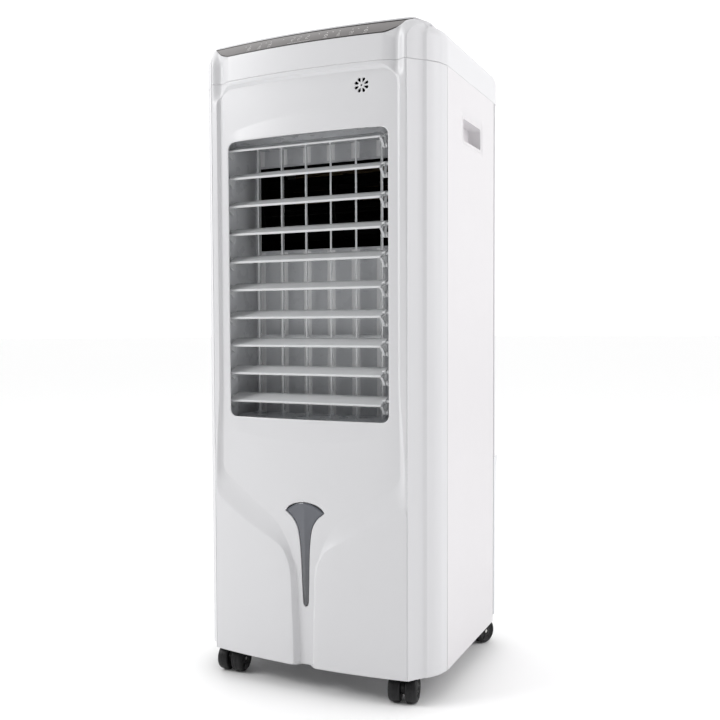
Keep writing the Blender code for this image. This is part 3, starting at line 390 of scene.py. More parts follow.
def catmull(pts, per=6, closed=False):
    out = []
    n = len(pts)
    rng = range(n) if closed else range(n - 1)
    for i in rng:
        if closed:
            p0, p1, p2, p3 = pts[(i - 1) % n], pts[i], pts[(i + 1) % n], pts[(i + 2) % n]
        else:
            p1, p2 = pts[i], pts[i + 1]
            p0 = pts[i - 1] if i > 0 else tuple(2 * a - b for a, b in zip(p1, p2))
            p3 = pts[i + 2] if i + 2 < n else tuple(2 * b - a for a, b in zip(p1, p2))
        for k in range(per):
            t = k / per
            out.append(tuple(0.5 * (2 * b + (c - a) * t + (2 * a - 5 * b + 4 * c - d) * t * t + (3 * b - a - 3 * c + d) * t ** 3)
                             for a, b, c, d in zip(p0, p1, p2, p3)))
    if not closed:
        out.append(tuple(pts[-1]))
    return out


def resample(pts, n, closed=False):
    p = np.array(list(pts) + ([pts[0]] if closed else []), float)
    seg = np.hypot(*(p[1:] - p[:-1]).T) if p.shape[1] == 2 else np.linalg.norm(p[1:] - p[:-1], axis=1)
    s = np.concatenate([[0], np.cumsum(seg)])
    t = np.linspace(0, s[-1], n + (1 if closed else 0))
    if closed:
        t = t[:-1]
    return np.stack([np.interp(t, s, p[:, k]) for k in range(p.shape[1])], 1)


def seg_dist(poly, P, closed=True):
    """Distance of the points P to a polyline."""
    A = np.array(poly, float)
    B = np.roll(A, -1, 0) if closed else A[1:]
    if not closed:
        A = A[:-1]
    best = np.full(len(P), 1e9)
    for a, b in zip(A, B):
        d = b - a
        L = max(1e-12, float(d @ d))
        t = np.clip(((P - a) @ d) / L, 0, 1)
        q = P - (a + t[:, None] * d)
        best = np.minimum(best, np.hypot(q[:, 0], q[:, 1]))
    return best


def inside_np(poly, P):
    A = np.array(poly, float)
    B = np.roll(A, -1, 0)
    c = np.zeros(len(P), bool)
    for (xa, za), (xb, zb) in zip(A, B):
        if za == zb:
            continue
        hit = ((za > P[:, 1]) != (zb > P[:, 1])) & (P[:, 0] < (xb - xa) * (P[:, 1] - za) / (zb - za) + xa)
        c ^= hit
    return c


# ------------------------------------------------------------------ outline
def front_y(x):
    return FRONT_Y + BOW * (x / CREASE_X) ** 2


ARC = catmull([(166.4, -122.0), (174.0, -111.6), (178.8, -102.0), (181.2, -93.0), (182.4, -86.4)], 8)
CORNER_FINE = [(148.0, -142.4), (156.8, -131.2), (161.4, -125.4), (163.6, -123.4)] + ARC
_cs = [CREASE_X]
for _a, _b in zip(CORNER_FINE, CORNER_FINE[1:]):
    _cs.append(_cs[-1] + math.hypot(_b[0] - _a[0], _b[1] - _a[1]))
S_END = _cs[-1]
_cx = [p[0] for p in CORNER_FINE]
_cy = [p[1] for p in CORNER_FINE]


def plan_np(s):
    a = np.abs(s)
    sg = np.where(s < 0, -1.0, 1.0)
    x = np.where(a <= CREASE_X, a, np.interp(a, _cs, _cx))
    y = np.where(a <= CREASE_X, FRONT_Y + BOW * (a / CREASE_X) ** 2, np.interp(a, _cs, _cy))
    return sg * x, y


def inward_np(s):
    e = 0.8
    xa, ya = plan_np(s - e)
    xb, yb = plan_np(s + e)
    dx, dy = xb - xa, yb - ya
    n = np.maximum(np.hypot(dx, dy), 1e-9)
    return -dy / n, dx / n


# ------------------------------------------------------------------ relief
SWEEP_RIM = [(144, 268.8), (136, 256), (100, 233), (60, 212), (36, 198), (26, 184), (20, 164), (17.6, 120), (16, 74), (15.2, 35.0)]
SWEEP_FLOOR = [(135.6, 301.2), (128, 288), (88, 260), (48, 232), (28, 204), (19, 180), (14, 168), (12.2, 120), (10.8, 74), (9.8, 35.0)]
TOP_RIM, TOP_FLOOR = 830.4, 826.4


def smooth(x):
    x = np.clip(x, 0, 1)
    return x * x * (3 - 2 * x)


def depth_at(z):
    """How far the floor of the recess lies under the outline, by height."""
    return np.interp(z, [36.0, 74.0, 120.0, 180.0, 250.0, 330.0, 420.0, 836.0], [9.0, 9.0, 8.4, 7.2, 6.0, 5.4, 4.6, 4.6])


def half_curve(x, top, r, sweep, zlow):
    """Right half of a recess outline: top middle, rounded corner and the foot of the side; the sweep argument is not
    used.
    """
    pts = [(x * k / 12.0, top) for k in range(12)]
    pts = [p for p in pts if p[0] < x - r - 1]
    for k in range(13):
        a = math.radians(90 - 90 * k / 12.0)
        pts.append((x - r + r * math.cos(a), top - r + r * math.sin(a)))
    return pts, [(x, zlow)]


def matched():
    """Rim and floor outlines with matching points."""
    n_top = 24
    rim, flo = [], []
    for k in range(n_top):
        t = k / n_top
        rim.append((t * 116.0, TOP_RIM))
        flo.append((t * 114.0, TOP_FLOOR))
    for k in range(14):
        a = math.radians(90 - 90 * k / 13.0)
        rim.append((116.0 + 22.0 * math.cos(a), TOP_RIM - 22.0 + 22.0 * math.sin(a)))
        flo.append((114.0 + 20.0 * math.cos(a), TOP_FLOOR - 20.0 + 20.0 * math.sin(a)))
    n_side = 60
    for k in range(1, n_side):
        t = k / n_side
        zr = (TOP_RIM - 22.0) * (1 - t) + 282.0 * t
        rim.append((138.0 + 6.0 * float(smooth((430.0 - zr) / 130.0)), zr))
        flo.append((134.0 + 1.6 * float(smooth((430.0 - zr) / 130.0)), (TOP_FLOOR - 20.0) * (1 - t) + 316.0 * t))
    sr = catmull([(144.0, 282.0)] + SWEEP_RIM, 14)
    sf = catmull([(135.6, 316.0)] + SWEEP_FLOOR, 14)
    rim += sr
    flo += sf
    return np.array(rim), np.array(flo)


RIM_H, FLO_H = matched()
RIM_POLY = np.concatenate([RIM_H, (RIM_H * [-1, 1])[::-1]])
FLO_POLY = np.concatenate([FLO_H, (FLO_H * [-1, 1])[::-1]])


def curve_g(t):
    e = 0.07
    u = 0.5 * (t + np.sqrt(t * t + e * e)) - 0.0
    u = np.where(t < -0.5, 0.0, u - 0.5 * (np.sqrt(0.25 + e * e) - 0.5) * np.clip(-t, 0, 1) * 0)
    v = np.clip(u, 0, 1)
    return 0.40 * v + 0.60 * (1 - (1 - v) ** 2)


def arc_top(x):
    return 779.6 - 13.0 * (x / 114.0) ** 2


def arc_bot(x):
    return 340.6 + 12.0 * (x / 116.0) ** 2


def relief_np(s, z, above=False):
    """Depth of the moulded relief under the outline, at (s, z)."""
    P = np.stack([s, z], 1)
    a = np.abs(s)
    d = np.zeros(len(s))
    if not above:
        ins_r = inside_np(RIM_POLY, P)
        ins_f = inside_np(FLO_POLY, P)
        near = (a < 150)
        do = np.zeros(len(s))
        di = np.zeros(len(s))
        do[near] = seg_dist(RIM_POLY[:-1], P[near], False)
        di[near] = seg_dist(FLO_POLY[:-1], P[near], False)
        t = np.where(ins_f, 1.0 + 0 * do, np.where(ins_r, do / np.maximum(do + di, 1e-6), -do / 9.0))
        d = depth_at(z) * curve_g(t)
        d = np.where(t < -0.6, 0.0, d)
    # valley between the pad and the corner column, running up the top cover
    up = np.clip((a - 115.0) / 16.0, 0, 1)
    gv = np.where(a < 133.0, 0.42 * smooth(np.clip((a - 115.0) / 4.5, 0, 1)) * up + 0.58 * up ** 1.6 + 0.0 * a, smooth((145.4 - a) / 12.4))
    gv = np.clip(gv, 0, 1)
    fade = smooth((z - 806.0) / 22.0)
    v = 6.2 * gv * fade
    d = np.maximum(v, d)
    if not above:
        # shallow lens above and below the air opening
        w = smooth((119.0 - a) / 26.0)
        top = np.clip((arc_top(s) - z) / (arc_top(s) - OPEN_Z1), 0, 1.0)
        bot = np.clip((z - arc_bot(s)) / (OPEN_Z0 - arc_bot(s)), 0, 1.0)
        lens = np.where(z > 560, top, bot) * w
        side = smooth((130.0 - a) / 9.0)
        d = d + np.where(z > 560, -1.7, 2.0) * lens * side * np.where(d > 3.0, 1.0, 0.0)
    # hair line beside the corner column
    d = d + 0.75 * np.clip(1 - np.abs(a - 147.2) / 0.9, 0, 1)
    return d


def depth_point(s, z, extra=0.0, above=False):
    x, y = plan_np(s)
    nx, ny = inward_np(s)
    # under the crease the relief runs straight back
    k = smooth((np.abs(s) - 147.0) / 2.0)
    nx = nx * k
    ny = 1.0 * (1 - k) + ny * k
    n = np.hypot(nx, ny)
    nx, ny = nx / n, ny / n
    d = relief_np(s, z, above) + extra
    return x + nx * d, y + ny * d


def cdt_surface(pts, edges, keep, place):
    """Triangulate in the (s, z) plane and keep the wanted triangles; the place argument is not used."""
    out = delaunay_2d_cdt([Vector(p) for p in pts], edges, [], 0, 1e-5)
    vv, ff = out[0], out[2]
    P = np.array([(v.x, v.y) for v in vv])
    tri = np.array([f for f in ff if len(f) == 3])
    C = P[tri].mean(1)
    a = P[tri[:, 1]] - P[tri[:, 0]]
    b = P[tri[:, 2]] - P[tri[:, 0]]
    area = a[:, 0] * b[:, 1] - a[:, 1] * b[:, 0]
    ok = keep(C) & (np.abs(area) > 1e-7)
    tri = tri[ok]
    flip = area[ok] < 0
    tri[flip] = tri[flip][:, ::-1]
    used = np.unique(tri)
    re = np.full(len(P), -1)
    re[used] = np.arange(len(used))
    return P[used], re[tri]


# ------------------------------------------------------------------ front shell
WINDOW_R = [(0, 115.6), (2.2, 117.6), (3.6, 121.6), (4.3, 134.0), (4.9, 148.4), (6.2, 186.8), (8.2, 210.0), (11.4, 225.2),
            (18.0, 236.4), (23.0, 241.0), (29.4, 246.0), (24.0, 252.0), (14.0, 256.6), (0, 258.8)]


def window_loop(off=0.0):
    a = catmull(WINDOW_R[:11], 5)
    b = catmull(WINDOW_R[10:], 5)
    half = a + b[1:]
    half = [p for p in half]
    full = half + [(-x, z) for x, z in half[-2:0:-1]]
    if off == 0:
        return full
    out = []
    n = len(full)
    for i in range(n):
        (xa, za), (xb, zb) = full[i - 1], full[(i + 1) % n]
        dx, dz = xb - xa, zb - za
        L = math.hypot(dx, dz)
        out.append((full[i][0] + dz / L * off, full[i][1] - dx / L * off))
    return out


VENT = (86.2, 808.0)


def drop(cx, cz, ang, r0, r1, w):
    """Teardrop slot pointing outwards."""
    pts = []
    n = 9
    for k in range(n):
        a = math.radians(-95 + 190 * k / (n - 1))
        pts.append((r1 - w + w * math.cos(a), w * math.sin(a)))
    for k in range(5):
        a = math.radians(110 + 140 * k / 4)
        pts.append((r0 + w * 0.45 + w * 0.45 * math.cos(a), w * 0.45 * math.sin(a)))
    c, s = math.cos(ang), math.sin(ang)
    return [(cx + u * c - v * s, cz + u * s + v * c) for u, v in pts]


VENT_HOLES = [drop(VENT[0], VENT[1], math.tau * k / 8 + math.tau / 16, 4.1, 10.0, 2.15) for k in range(8)]
VENT_HOLES.append([(VENT[0] + 1.4 * math.cos(math.tau * k / 10), VENT[1] + 1.4 * math.sin(math.tau * k / 10)) for k in range(10)])


def make_front():
    pts, edges = [], []

    def line(poly, closed):
        i0 = len(pts)
        pts.extend([(float(p[0]), float(p[1])) for p in poly])
        n = len(poly)
        for k in range(n if closed else n - 1):
            edges.append((i0 + k, i0 + (k + 1) % n))
    z0, z1 = SKIRT_Z, COVER_Z - 0.17
    se = S_END - 0.2
    cols = list(np.arange(-144, 144.1, 6.0))
    extra = [145.4, 146.3, 146.8, 147.2, 147.6, 148.1] + [c for c in _cs[1:-1]] + [se]
    gaps = sorted(extra)
    fine = []
    for a, b in zip([144.0] + gaps, gaps):
        fine.append(b)
    cols = sorted(set([round(c, 4) for c in cols] + [round(c, 4) for c in fine] + [round(-c, 4) for c in fine]))
    rows = sorted(set([z0, z0 + 1.2, z0 + 3] + [round(z, 3) for z in np.arange(42.0, z1 - 2, 6.0)] + [z1 - 1.5, z1]))
    # border
    border = [(c, z0) for c in cols] + [(cols[-1], r) for r in rows[1:]] + [(c, z1) for c in cols[-2::-1]] + [(cols[0], r) for r in rows[-2:0:-1]]
    line(border, True)
    # recess contour lines
    levels = [-0.22, -0.1, -0.03, 0.04, 0.12, 0.24, 0.4, 0.56, 0.72, 0.86, 0.95, 1.0, 1.08]
    band = []
    for t in levels:
        P = RIM_H + (FLO_H - RIM_H) * t
        P = resample(P, 330)
        P = P[(P[:, 1] > z0 + 0.4)]
        P = P[P[:, 0] > 0.3]
        band.append(P)
        line(P, False)
        line(P * [-1, 1], False)
    # air opening
    hole0 = rrect(-OPEN_X, OPEN_X, OPEN_Z0, OPEN_Z1, OPEN_R, 10)
    hole0 = resample(hole0, 260, True)
    hp = [tuple(p) for p in hole0]
    for off in (0.0, 0.3, 0.8, 1.5, 2.4):
        lp = rrect(-OPEN_X - off, OPEN_X + off, OPEN_Z0 - off, OPEN_Z1 + off, OPEN_R + off, 10)
        lp = resample(lp, 260, True)
        if off == 0.0:
            hp = [tuple(p) for p in lp]
        line(lp, True)
    # window seat
    for off in (0.35, 0.7, 1.2, 1.9):
        line(window_loop(off), True)
    wp = window_loop(0.35)
    # arcs over and under the opening
    xs = np.linspace(-118, 118, 60)
    for f in (arc_top, arc_bot):
        for off in (-1.3, 0.0, 1.3):
            line([(x, f(x) + off) for x in xs], False)
    for h in VENT_HOLES:
        line(h, True)
    # background points
    G = np.array([(c, r) for c in cols[1:-1] for r in rows[1:-1]])
    more = []
    for c in np.arange(120.0, 146.1, 2.2):
        for r in np.arange(796.0, z1 - 1, 2.4):
            more += [(c, r), (-c, r)]
    for c in np.arange(VENT[0] - 14, VENT[0] + 14.1, 2.0):
        for r in np.arange(VENT[1] - 14, VENT[1] + 14.1, 2.0):
            more.append((c, r))
    G = np.concatenate([G, np.array(more)])
    dr = seg_dist(RIM_POLY[:-1], G, False)
    df = seg_dist(FLO_POLY[:-1], G, False)
    inr, inf = inside_np(RIM_POLY, G), inside_np(FLO_POLY, G)
    ok = ~((inr & ~inf) | (dr < 2.6) | (df < 1.4))
    ok |= (G[:, 1] > 832.5)
    ok &= ~((dr < 0.5) | (df < 0.5))
    ok &= seg_dist(hp, G) > 3.2
    ok &= ~inside_np(hp, G)
    ok &= seg_dist(wp, G) > 2.6
    for f in (arc_top, arc_bot):
        ok &= (np.abs(G[:, 1] - f(G[:, 0])) > 2.6) | (np.abs(G[:, 0]) > 121)
    for h in VENT_HOLES:
        ok &= (seg_dist(h, G) > 0.5) & ~inside_np(h, G)
    G = G[ok]
    pts.extend([tuple(p) for p in G])

    def keep(C):
        k = ~inside_np(hp, C) & ~inside_np(wp, C)
        for h in VENT_HOLES:
            k &= ~inside_np(h, C)
        return k
    P, tri = cdt_surface(pts, edges, keep, None)
    s, z = P[:, 0], P[:, 1]
    dh = seg_dist(hp, P)
    u = np.clip(dh / 1.7, 0, 1)
    ex = 1.4 * (1 - np.sqrt(1 - (1 - u) ** 2))
    dw = seg_dist(wp, P)
    u = np.clip(dw / 1.2, 0, 1)
    ex = ex + 1.1 * (1 - np.sqrt(1 - (1 - u) ** 2))
    x, y = depth_point(s, z, ex)
    verts = [D(a, b, c) for a, b, c in zip(x, y, z)]
    faces = [tuple(f) for f in tri]
    bm = bmesh.new()
    vs = [bm.verts.new(v) for v in verts]
    for f in faces:
        try:
            bm.faces.new([vs[i] for i in f])
        except ValueError:
            pass
    bm.verts.ensure_lookup_table()
    bm.edges.ensure_lookup_table()
    # return lips: air opening, window and vent slots
    hole_v = dh < 0.02
    win_v = dw < 0.02
    vent_v = np.zeros(len(P), bool)
    for h in VENT_HOLES:
        vent_v |= seg_dist(h, P) < 0.02
    for mask, to_y, steps in ((hole_v, -136.6, 4), (win_v, None, 2), (vent_v, None, 2)):
        be = [e for e in bm.edges if len(e.link_faces) == 1 and e.verts[0].index < len(P) and e.verts[1].index < len(P)
              and mask[e.verts[0].index] and mask[e.verts[1].index]]
        if not be:
            continue
        src = {v for e in be for v in e.verts}
        prev = {v: v for v in src}
        for k in range(1, steps + 1):
            cur = {}
            for v in src:
                y0 = v.co.y
                y1 = (to_y + YS) * 0.001 if to_y is not None else y0 + 0.0026
                cur[v] = bm.verts.new((v.co.x, y0 + (y1 - y0) * k / steps, v.co.z))
            for e in be:
                a, b = e.verts
                f = e.link_faces[0]
                # keep the winding of the face on the other side of the edge
                order = [l.vert for l in f.loops]
                i = order.index(a)
                if order[(i + 1) % len(order)] == b:
                    bm.faces.new((prev[b], prev[a], cur[a], cur[b]))
                else:
                    bm.faces.new((prev[a], prev[b], cur[b], cur[a]))
            prev = cur
    me = bpy.data.meshes.new("front_shell_skin")
    bm.to_mesh(me)
    bm.free()
    ob = finish_mesh("front_shell_skin", me, M["white"], "cabinet", 42.0)
    md = ob.modifiers.new("wall", 'SOLIDIFY')
    md.thickness = 0.0022
    md.offset = -1.0
    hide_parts("front_shell")
    # near-black disc behind the vent: painted shade seen through the holes
    bm = bm_turn([(0, -1.5), (13.5, -1.5), (13.5, 1.5), (0, 1.5)], (VENT[0], front_y(VENT[0]) + 4.6 + 6.0, VENT[1]), (0, 1, 0), 40)
    v = from_bm("vent_painted_shade_disc", bm, M["dark"], "cabinet")
    bevel(v, 0.4, 2)
    # level window: a lens with a crest down its middle
    n = 26
    loop = window_loop(0.0)
    zs = np.linspace(116.2, 258.2, 90)
    lo = np.array(loop)
    R = lo[lo[:, 0] >= -1e-6]
    right = R[np.argsort(R[:, 1])]
    # half width at every height, from the outline
    rl = catmull(WINDOW_R[:11], 5)
    zz = [p[1] for p in rl]
    xx = [p[0] for p in rl]
    top = catmull(WINDOW_R[10:], 5)
    vl, fl = [], []
    grid = []
    for j, zc in enumerate(np.linspace(0, 1, 80)):
        row = []
        for i in range(-10, 11):
            t = i / 10.0
            # rows follow the fan: straight at the bottom, domed at the top
            zb = 116.0 + (246.0 - 116.0) * zc
            w = max(0.05, float(np.interp(zb, zz, xx)) - 0.12)
            x = t * w
            crown = 12.4 * smooth((zc - 0.55) / 0.45) * (1 - t * t)
            zv = zb + crown
            yb = front_y(x) + float(depth_at(zv))
            hgt = 1.9 * (1 - abs(t)) ** 1.1 * min(1.0, w / 14.0 + 0.35)
            row.append(len(vl))
            vl.append(D(x, yb + 0.9 - hgt, zv))
        grid.append(row)
    for a, b in zip(grid, grid[1:]):
        for i in range(20):
            fl.append((a[i], a[i + 1], b[i + 1], b[i]))
    w = new_mesh("level_window", vl, fl, M["smoke"], "cabinet", 20.0)
    md = w.modifiers.new("wall", 'SOLIDIFY')
    md.thickness = 0.0022
    md.offset = -1.0
    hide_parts("water_window")


# ------------------------------------------------------------------ top cover
def panel_low(x):
    a = abs(x)
    if a <= 117:
        return front_y(x) + 1.2, 870.5
    t = (a - 117) / 33.0
    f = 0.42 * t + 0.58 * t * t
    return front_y(117) + 1.2 + (-127.4 - front_y(117)) * f, 870.5 + 17.5 * f


def panel_high(x):
    q = (x / 150.0) ** 2
    return -136.0 + 10.8 * q, 889.2 - 0.2 * q


def top_edge(s):
    """Upper edge of the cover for the wall at s (right half)."""
    if s <= 126:
        y, z = panel_low(s)
        return Vector((s, y, z))
    if s <= 137:
        x = 126 + (s - 126) / 11.0 * 24.0
        y, z = panel_low(x)
        return Vector((x, y, z))
    if s <= CREASE_X:
        key = [(150.0, -127.4, 888.0), (158.2, -121.0, 887.4), (165.0, -113.5, 884.4), (168.0, -108.0, 882.6)]
        t = (s - 137) / (CREASE_X - 137) * 3
        i = min(2, int(t))
        f = t - i
        return Vector([a + (b - a) * f for a, b in zip(key[i], key[i + 1])])
    t = (s - CREASE_X) / (S_END - CREASE_X)
    return Vector((168.0, -108.0 + 22.0 * t, 882.6 + 0.6 * t))


def make_cover():
    cols = []
    ss = list(np.arange(0, 117, 6.0)) + list(np.arange(117, 126, 1.5)) + list(np.arange(126, 145.5, 0.9)) + [145.6, 146.3, 146.8, 147.2, 147.6, 148.0, 148.6] + _cs[1:-1]
    for s in ss:
        cols.append(("f", float(s)))
    for y in np.linspace(SEAM_Y, REAR_Y - 14, 30):
        cols.append(("s", float(y)))
    for k in range(1, 9):
        cols.append(("r", math.radians(90.0 * k / 9)))
    for x in np.linspace(SIDE_X - 14, 0, 22)[0:]:
        cols.append(("b", float(x)))

    def column(kind, v, sg):
        if kind == "f":
            E = top_edge(v)
            s = np.array([v * sg if sg > 0 else -v])
            zk = 868.6 if v <= 117 else (868.6 - 8.0 * float(smooth((v - 117) / 20.0)) if v < 150 else 860.6 + 5.4 * float(smooth((v - 150) / 30.0)))
            zr = np.concatenate([[COVER_Z + 0.17, COVER_Z + 1.0], np.linspace(COVER_Z + 3, zk, 11)])
            wall = []
            for z in zr:
                x, y = depth_point(np.array([v]), np.array([z]), 0.0, True)
                wall.append(Vector((float(x[0]), float(y[0]), float(z))))
            x0, y0 = plan_np(np.array([v]))
            base = Vector((float(x0[0]), float(y0[0]), zk))
            dd = wall[-1] - base
        else:
            zk = 866.0
            if kind == "s":
                p = (SIDE_X, v)
                E = Vector((167.6, v, 883.2))
            elif kind == "r":
                p = (SIDE_X - 14 + 14 * math.cos(v), REAR_Y - 14 + 14 * math.sin(v))
                E = Vector((SIDE_X - 18 + 3.2 * math.cos(v), REAR_Y - 18 + 3.2 * math.sin(v), 883.2))
            else:
                p = (v, REAR_Y)
                E = Vector((v * (SIDE_X - 18) / (SIDE_X - 14), REAR_Y - 14.8, 883.2))
            zr = np.concatenate([[COVER_Z + 0.17, COVER_Z + 1.0], np.linspace(COVER_Z + 3, zk, 11)])
            wall = [Vector((p[0], p[1], float(z))) for z in zr]
            base = Vector((p[0], p[1], zk))
            dd = Vector((0, 0, 0))
        A = base
        C = Vector((A.x + (E.x - A.x) * 0.07, A.y + (E.y - A.y) * 0.07, E.z - 0.4))
        pts = list(wall)
        n = 14
        for k in range(1, n + 1):
            t = k / n
            q = A * (1 - t) ** 2 + C * (2 * t * (1 - t)) + E * t * t
            pts.append(q + dd * (1 - t) ** 1.3)
        # tuck under the lid or the panel
        cen = Vector((0, 20, 0))
        inn = Vector((cen.x - E.x, cen.y - E.y, 0)).normalized()
        pts.append(E + inn * 0.5 + Vector((0, 0, -0.35)))
        pts.append(E + inn * 0.9 + Vector((0, 0, -2.6)))
        xc, yc = max(-150.0, min(150.0, E.x * 0.93)), max(-108.0, min(126.0, E.y * 0.93))
        pts.append(Vector((xc, yc, 883.3)))
        # to the filling hole
        ang = math.atan2((yc - 35) / 35.0, xc / 70.0)
        c, sn = math.cos(ang), math.sin(ang)
        k = 1.0 / (abs(c) ** 6 + abs(sn) ** 6) ** (1 / 6.0)
        hx, hy = 70.0 * c * k, 35 + 35.0 * sn * k
        pts.append(Vector((hx * 1.06, 35 + (hy - 35) * 1.08, 883.6)))
        pts.append(Vector((hx * 1.02, 35 + (hy - 35) * 1.03, 883.4)))
        pts.append(Vector((hx, hy, 882.8)))
        pts.append(Vector((hx, hy, 871.0)))
        return [Vector((p.x * sg, p.y, p.z)) for p in pts]
    right = [column(k, v, 1) for k, v in cols]
    left = [column(k, v, -1) for k, v in cols]
    ring = right + left[-2:0:-1]
    verts, faces = [], []
    nr = len(ring[0])
    for col in ring:
        for p in col:
            verts.append(D(p.x, p.y, p.z))
    n = len(ring)
    for i in range(n):
        j = (i + 1) % n
        for k in range(nr - 1):
            faces.append((i * nr + k, j * nr + k, j * nr + k + 1, i * nr + k + 1))
    ob = new_mesh("top_cover_skin", verts, faces, M["white"], "cabinet", 40.0)
    md = ob.modifiers.new("wall", 'SOLIDIFY')
    md.thickness = 0.0018
    md.offset = -1.0
    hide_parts("top_cover")


def make_panel():
    xs = sorted(set([float(x) for x in np.linspace(-149.6, 149.6, 101)]))
    verts, faces, grid = [], [], []
    nv = 12
    for x in xs:
        ly, lz = panel_low(x)
        hy, hz = panel_high(x)
        row = []
        for k in range(nv + 1):
            t = k / nv
            b = 0.9 * math.sin(math.pi * t) * max(0.0, 1 - (x / 150.0) ** 2)
            row.append(len(verts))
            verts.append(D(x, ly + (hy - ly) * t - 0.72 * b + 0.25, lz + (hz - lz) * t + 0.69 * b + 0.25))
        grid.append(row)
    for a, b in zip(grid, grid[1:]):
        for k in range(nv):
            faces.append((a[k], b[k], b[k + 1], a[k + 1]))
    ob = new_mesh("touch_panel", verts, faces, M["panel"], "cabinet", 30.0)
    md = ob.modifiers.new("wall", 'SOLIDIFY')
    md.thickness = 0.0018
    md.offset = -1.0
    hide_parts("control_panel")
    # near-black strips along the panel's lower and upper edges
    for tag, edge in (("low", panel_low), ("high", panel_high)):
        verts, faces = [], []
        if tag == "low":
            sec = [(-0.8, -0.35), (0.75, -0.75), (1.2, 0.6), (0.25, 1.35), (-0.6, 1.05), (-0.85, 0.4)]
        else:
            sec = [(-0.75, -0.95), (0.7, -0.6), (0.9, 0.55), (0.1, 0.75), (-0.6, 0.3), (-0.85, -0.4)]
        for x in xs:
            ly, lz = edge(x)
            for a, b in sec:
                verts.append(D(x, ly + a - 0.1, lz + b - 0.1))
        m = len(sec)
        for i in range(len(xs) - 1):
            for k in range(m):
                faces.append((i * m + k, i * m + (k + 1) % m, (i + 1) * m + (k + 1) % m, (i + 1) * m + k))
        faces.append(tuple(range(m))[::-1])
        faces.append(tuple(range((len(xs) - 1) * m, len(xs) * m)))
        new_mesh("panel_edge_dark_line_" + tag, verts, faces, M["panel_rim"], "cabinet", 50.0)
    # generic printed marks: dots, rings, bars
    bm = bmesh.new()

    def on_panel(x, v, lift=0.35):
        ly, lz = panel_low(x)
        hy, hz = panel_high(x)
        b = 0.9 * math.sin(math.pi * v) * max(0.0, 1 - (x / 150.0) ** 2) + lift
        return D(x, ly + (hy - ly) * v - 0.72 * b + 0.25, lz + (hz - lz) * v + 0.69 * b + 0.25)

    def patch(poly):
        lo = [bm.verts.new(on_panel(x, v, 0.05)) for x, v in poly]
        hi = [bm.verts.new(on_panel(x, v, 0.14)) for x, v in poly]
        bm.faces.new(hi)
        n = len(poly)
        for i in range(n):
            bm.faces.new((lo[i], lo[(i + 1) % n], hi[(i + 1) % n], hi[i]))

    def ring(x, v, r, w):
        n = 18
        vs = [[bm.verts.new(on_panel(x + q * math.cos(math.tau * k / n), v + q / 26.5 * math.sin(math.tau * k / n), h)) for k in range(n)]
              for q, h in ((r, 0.05), (r, 0.14), (r - w, 0.14), (r - w, 0.05))]
        for a, b in zip(vs, vs[1:]):
            for k in range(n):
                bm.faces.new((a[k], a[(k + 1) % n], b[(k + 1) % n], b[k]))

    def bar(x, v, w, h):
        patch([(x - w / 2, v - h / 2), (x + w / 2, v - h / 2), (x + w / 2, v + h / 2), (x - w / 2, v + h / 2)])
    # seven touch symbols along the lower half
    for i, x in enumerate((-84, -66, -50, 36, 54, 72, 92)):
        v = 0.34
        if i % 3 == 0:
            ring(x, v, 2.4, 0.6)
            bar(x, v + 0.07, 0.6, 0.10)
        elif i % 3 == 1:
            for k in range(3):
                bar(x, v - 0.07 + 0.07 * k, 4.6 - k * 1.0, 0.024)
        else:
            for k in range(3):
                bar(x - 2 + 2 * k, v, 0.7, 0.06 + 0.05 * k)
        bar(x, 0.16, 5.0, 0.022)
    # display: two-bar digits in the middle and pilot dots above the symbols
    for x in (-14, -4, 8):
        for dx, dv, w, h in ((0, 0.0, 3.6, 0.022), (0, 0.17, 3.6, 0.022), (0, 0.34, 3.6, 0.022), (-1.9, 0.085, 0.55, 0.13), (1.9, 0.255, 0.55, 0.13)):
            bar(x + dx, 0.30 + dv, w, h)
    bar(-3, 0.14, 34.0, 0.018)
    for x in (-92, -84, -66, -58, -50, -30, 24, 36, 44, 54, 72, 80, 92):
        n = 10
        patch([(x + 0.8 * math.cos(math.tau * k / n), 0.60 + 0.8 / 26.5 * math.sin(math.tau * k / n)) for k in range(n)])
    from_bm("panel_marks", bm, M["icon"], "cabinet", 60)


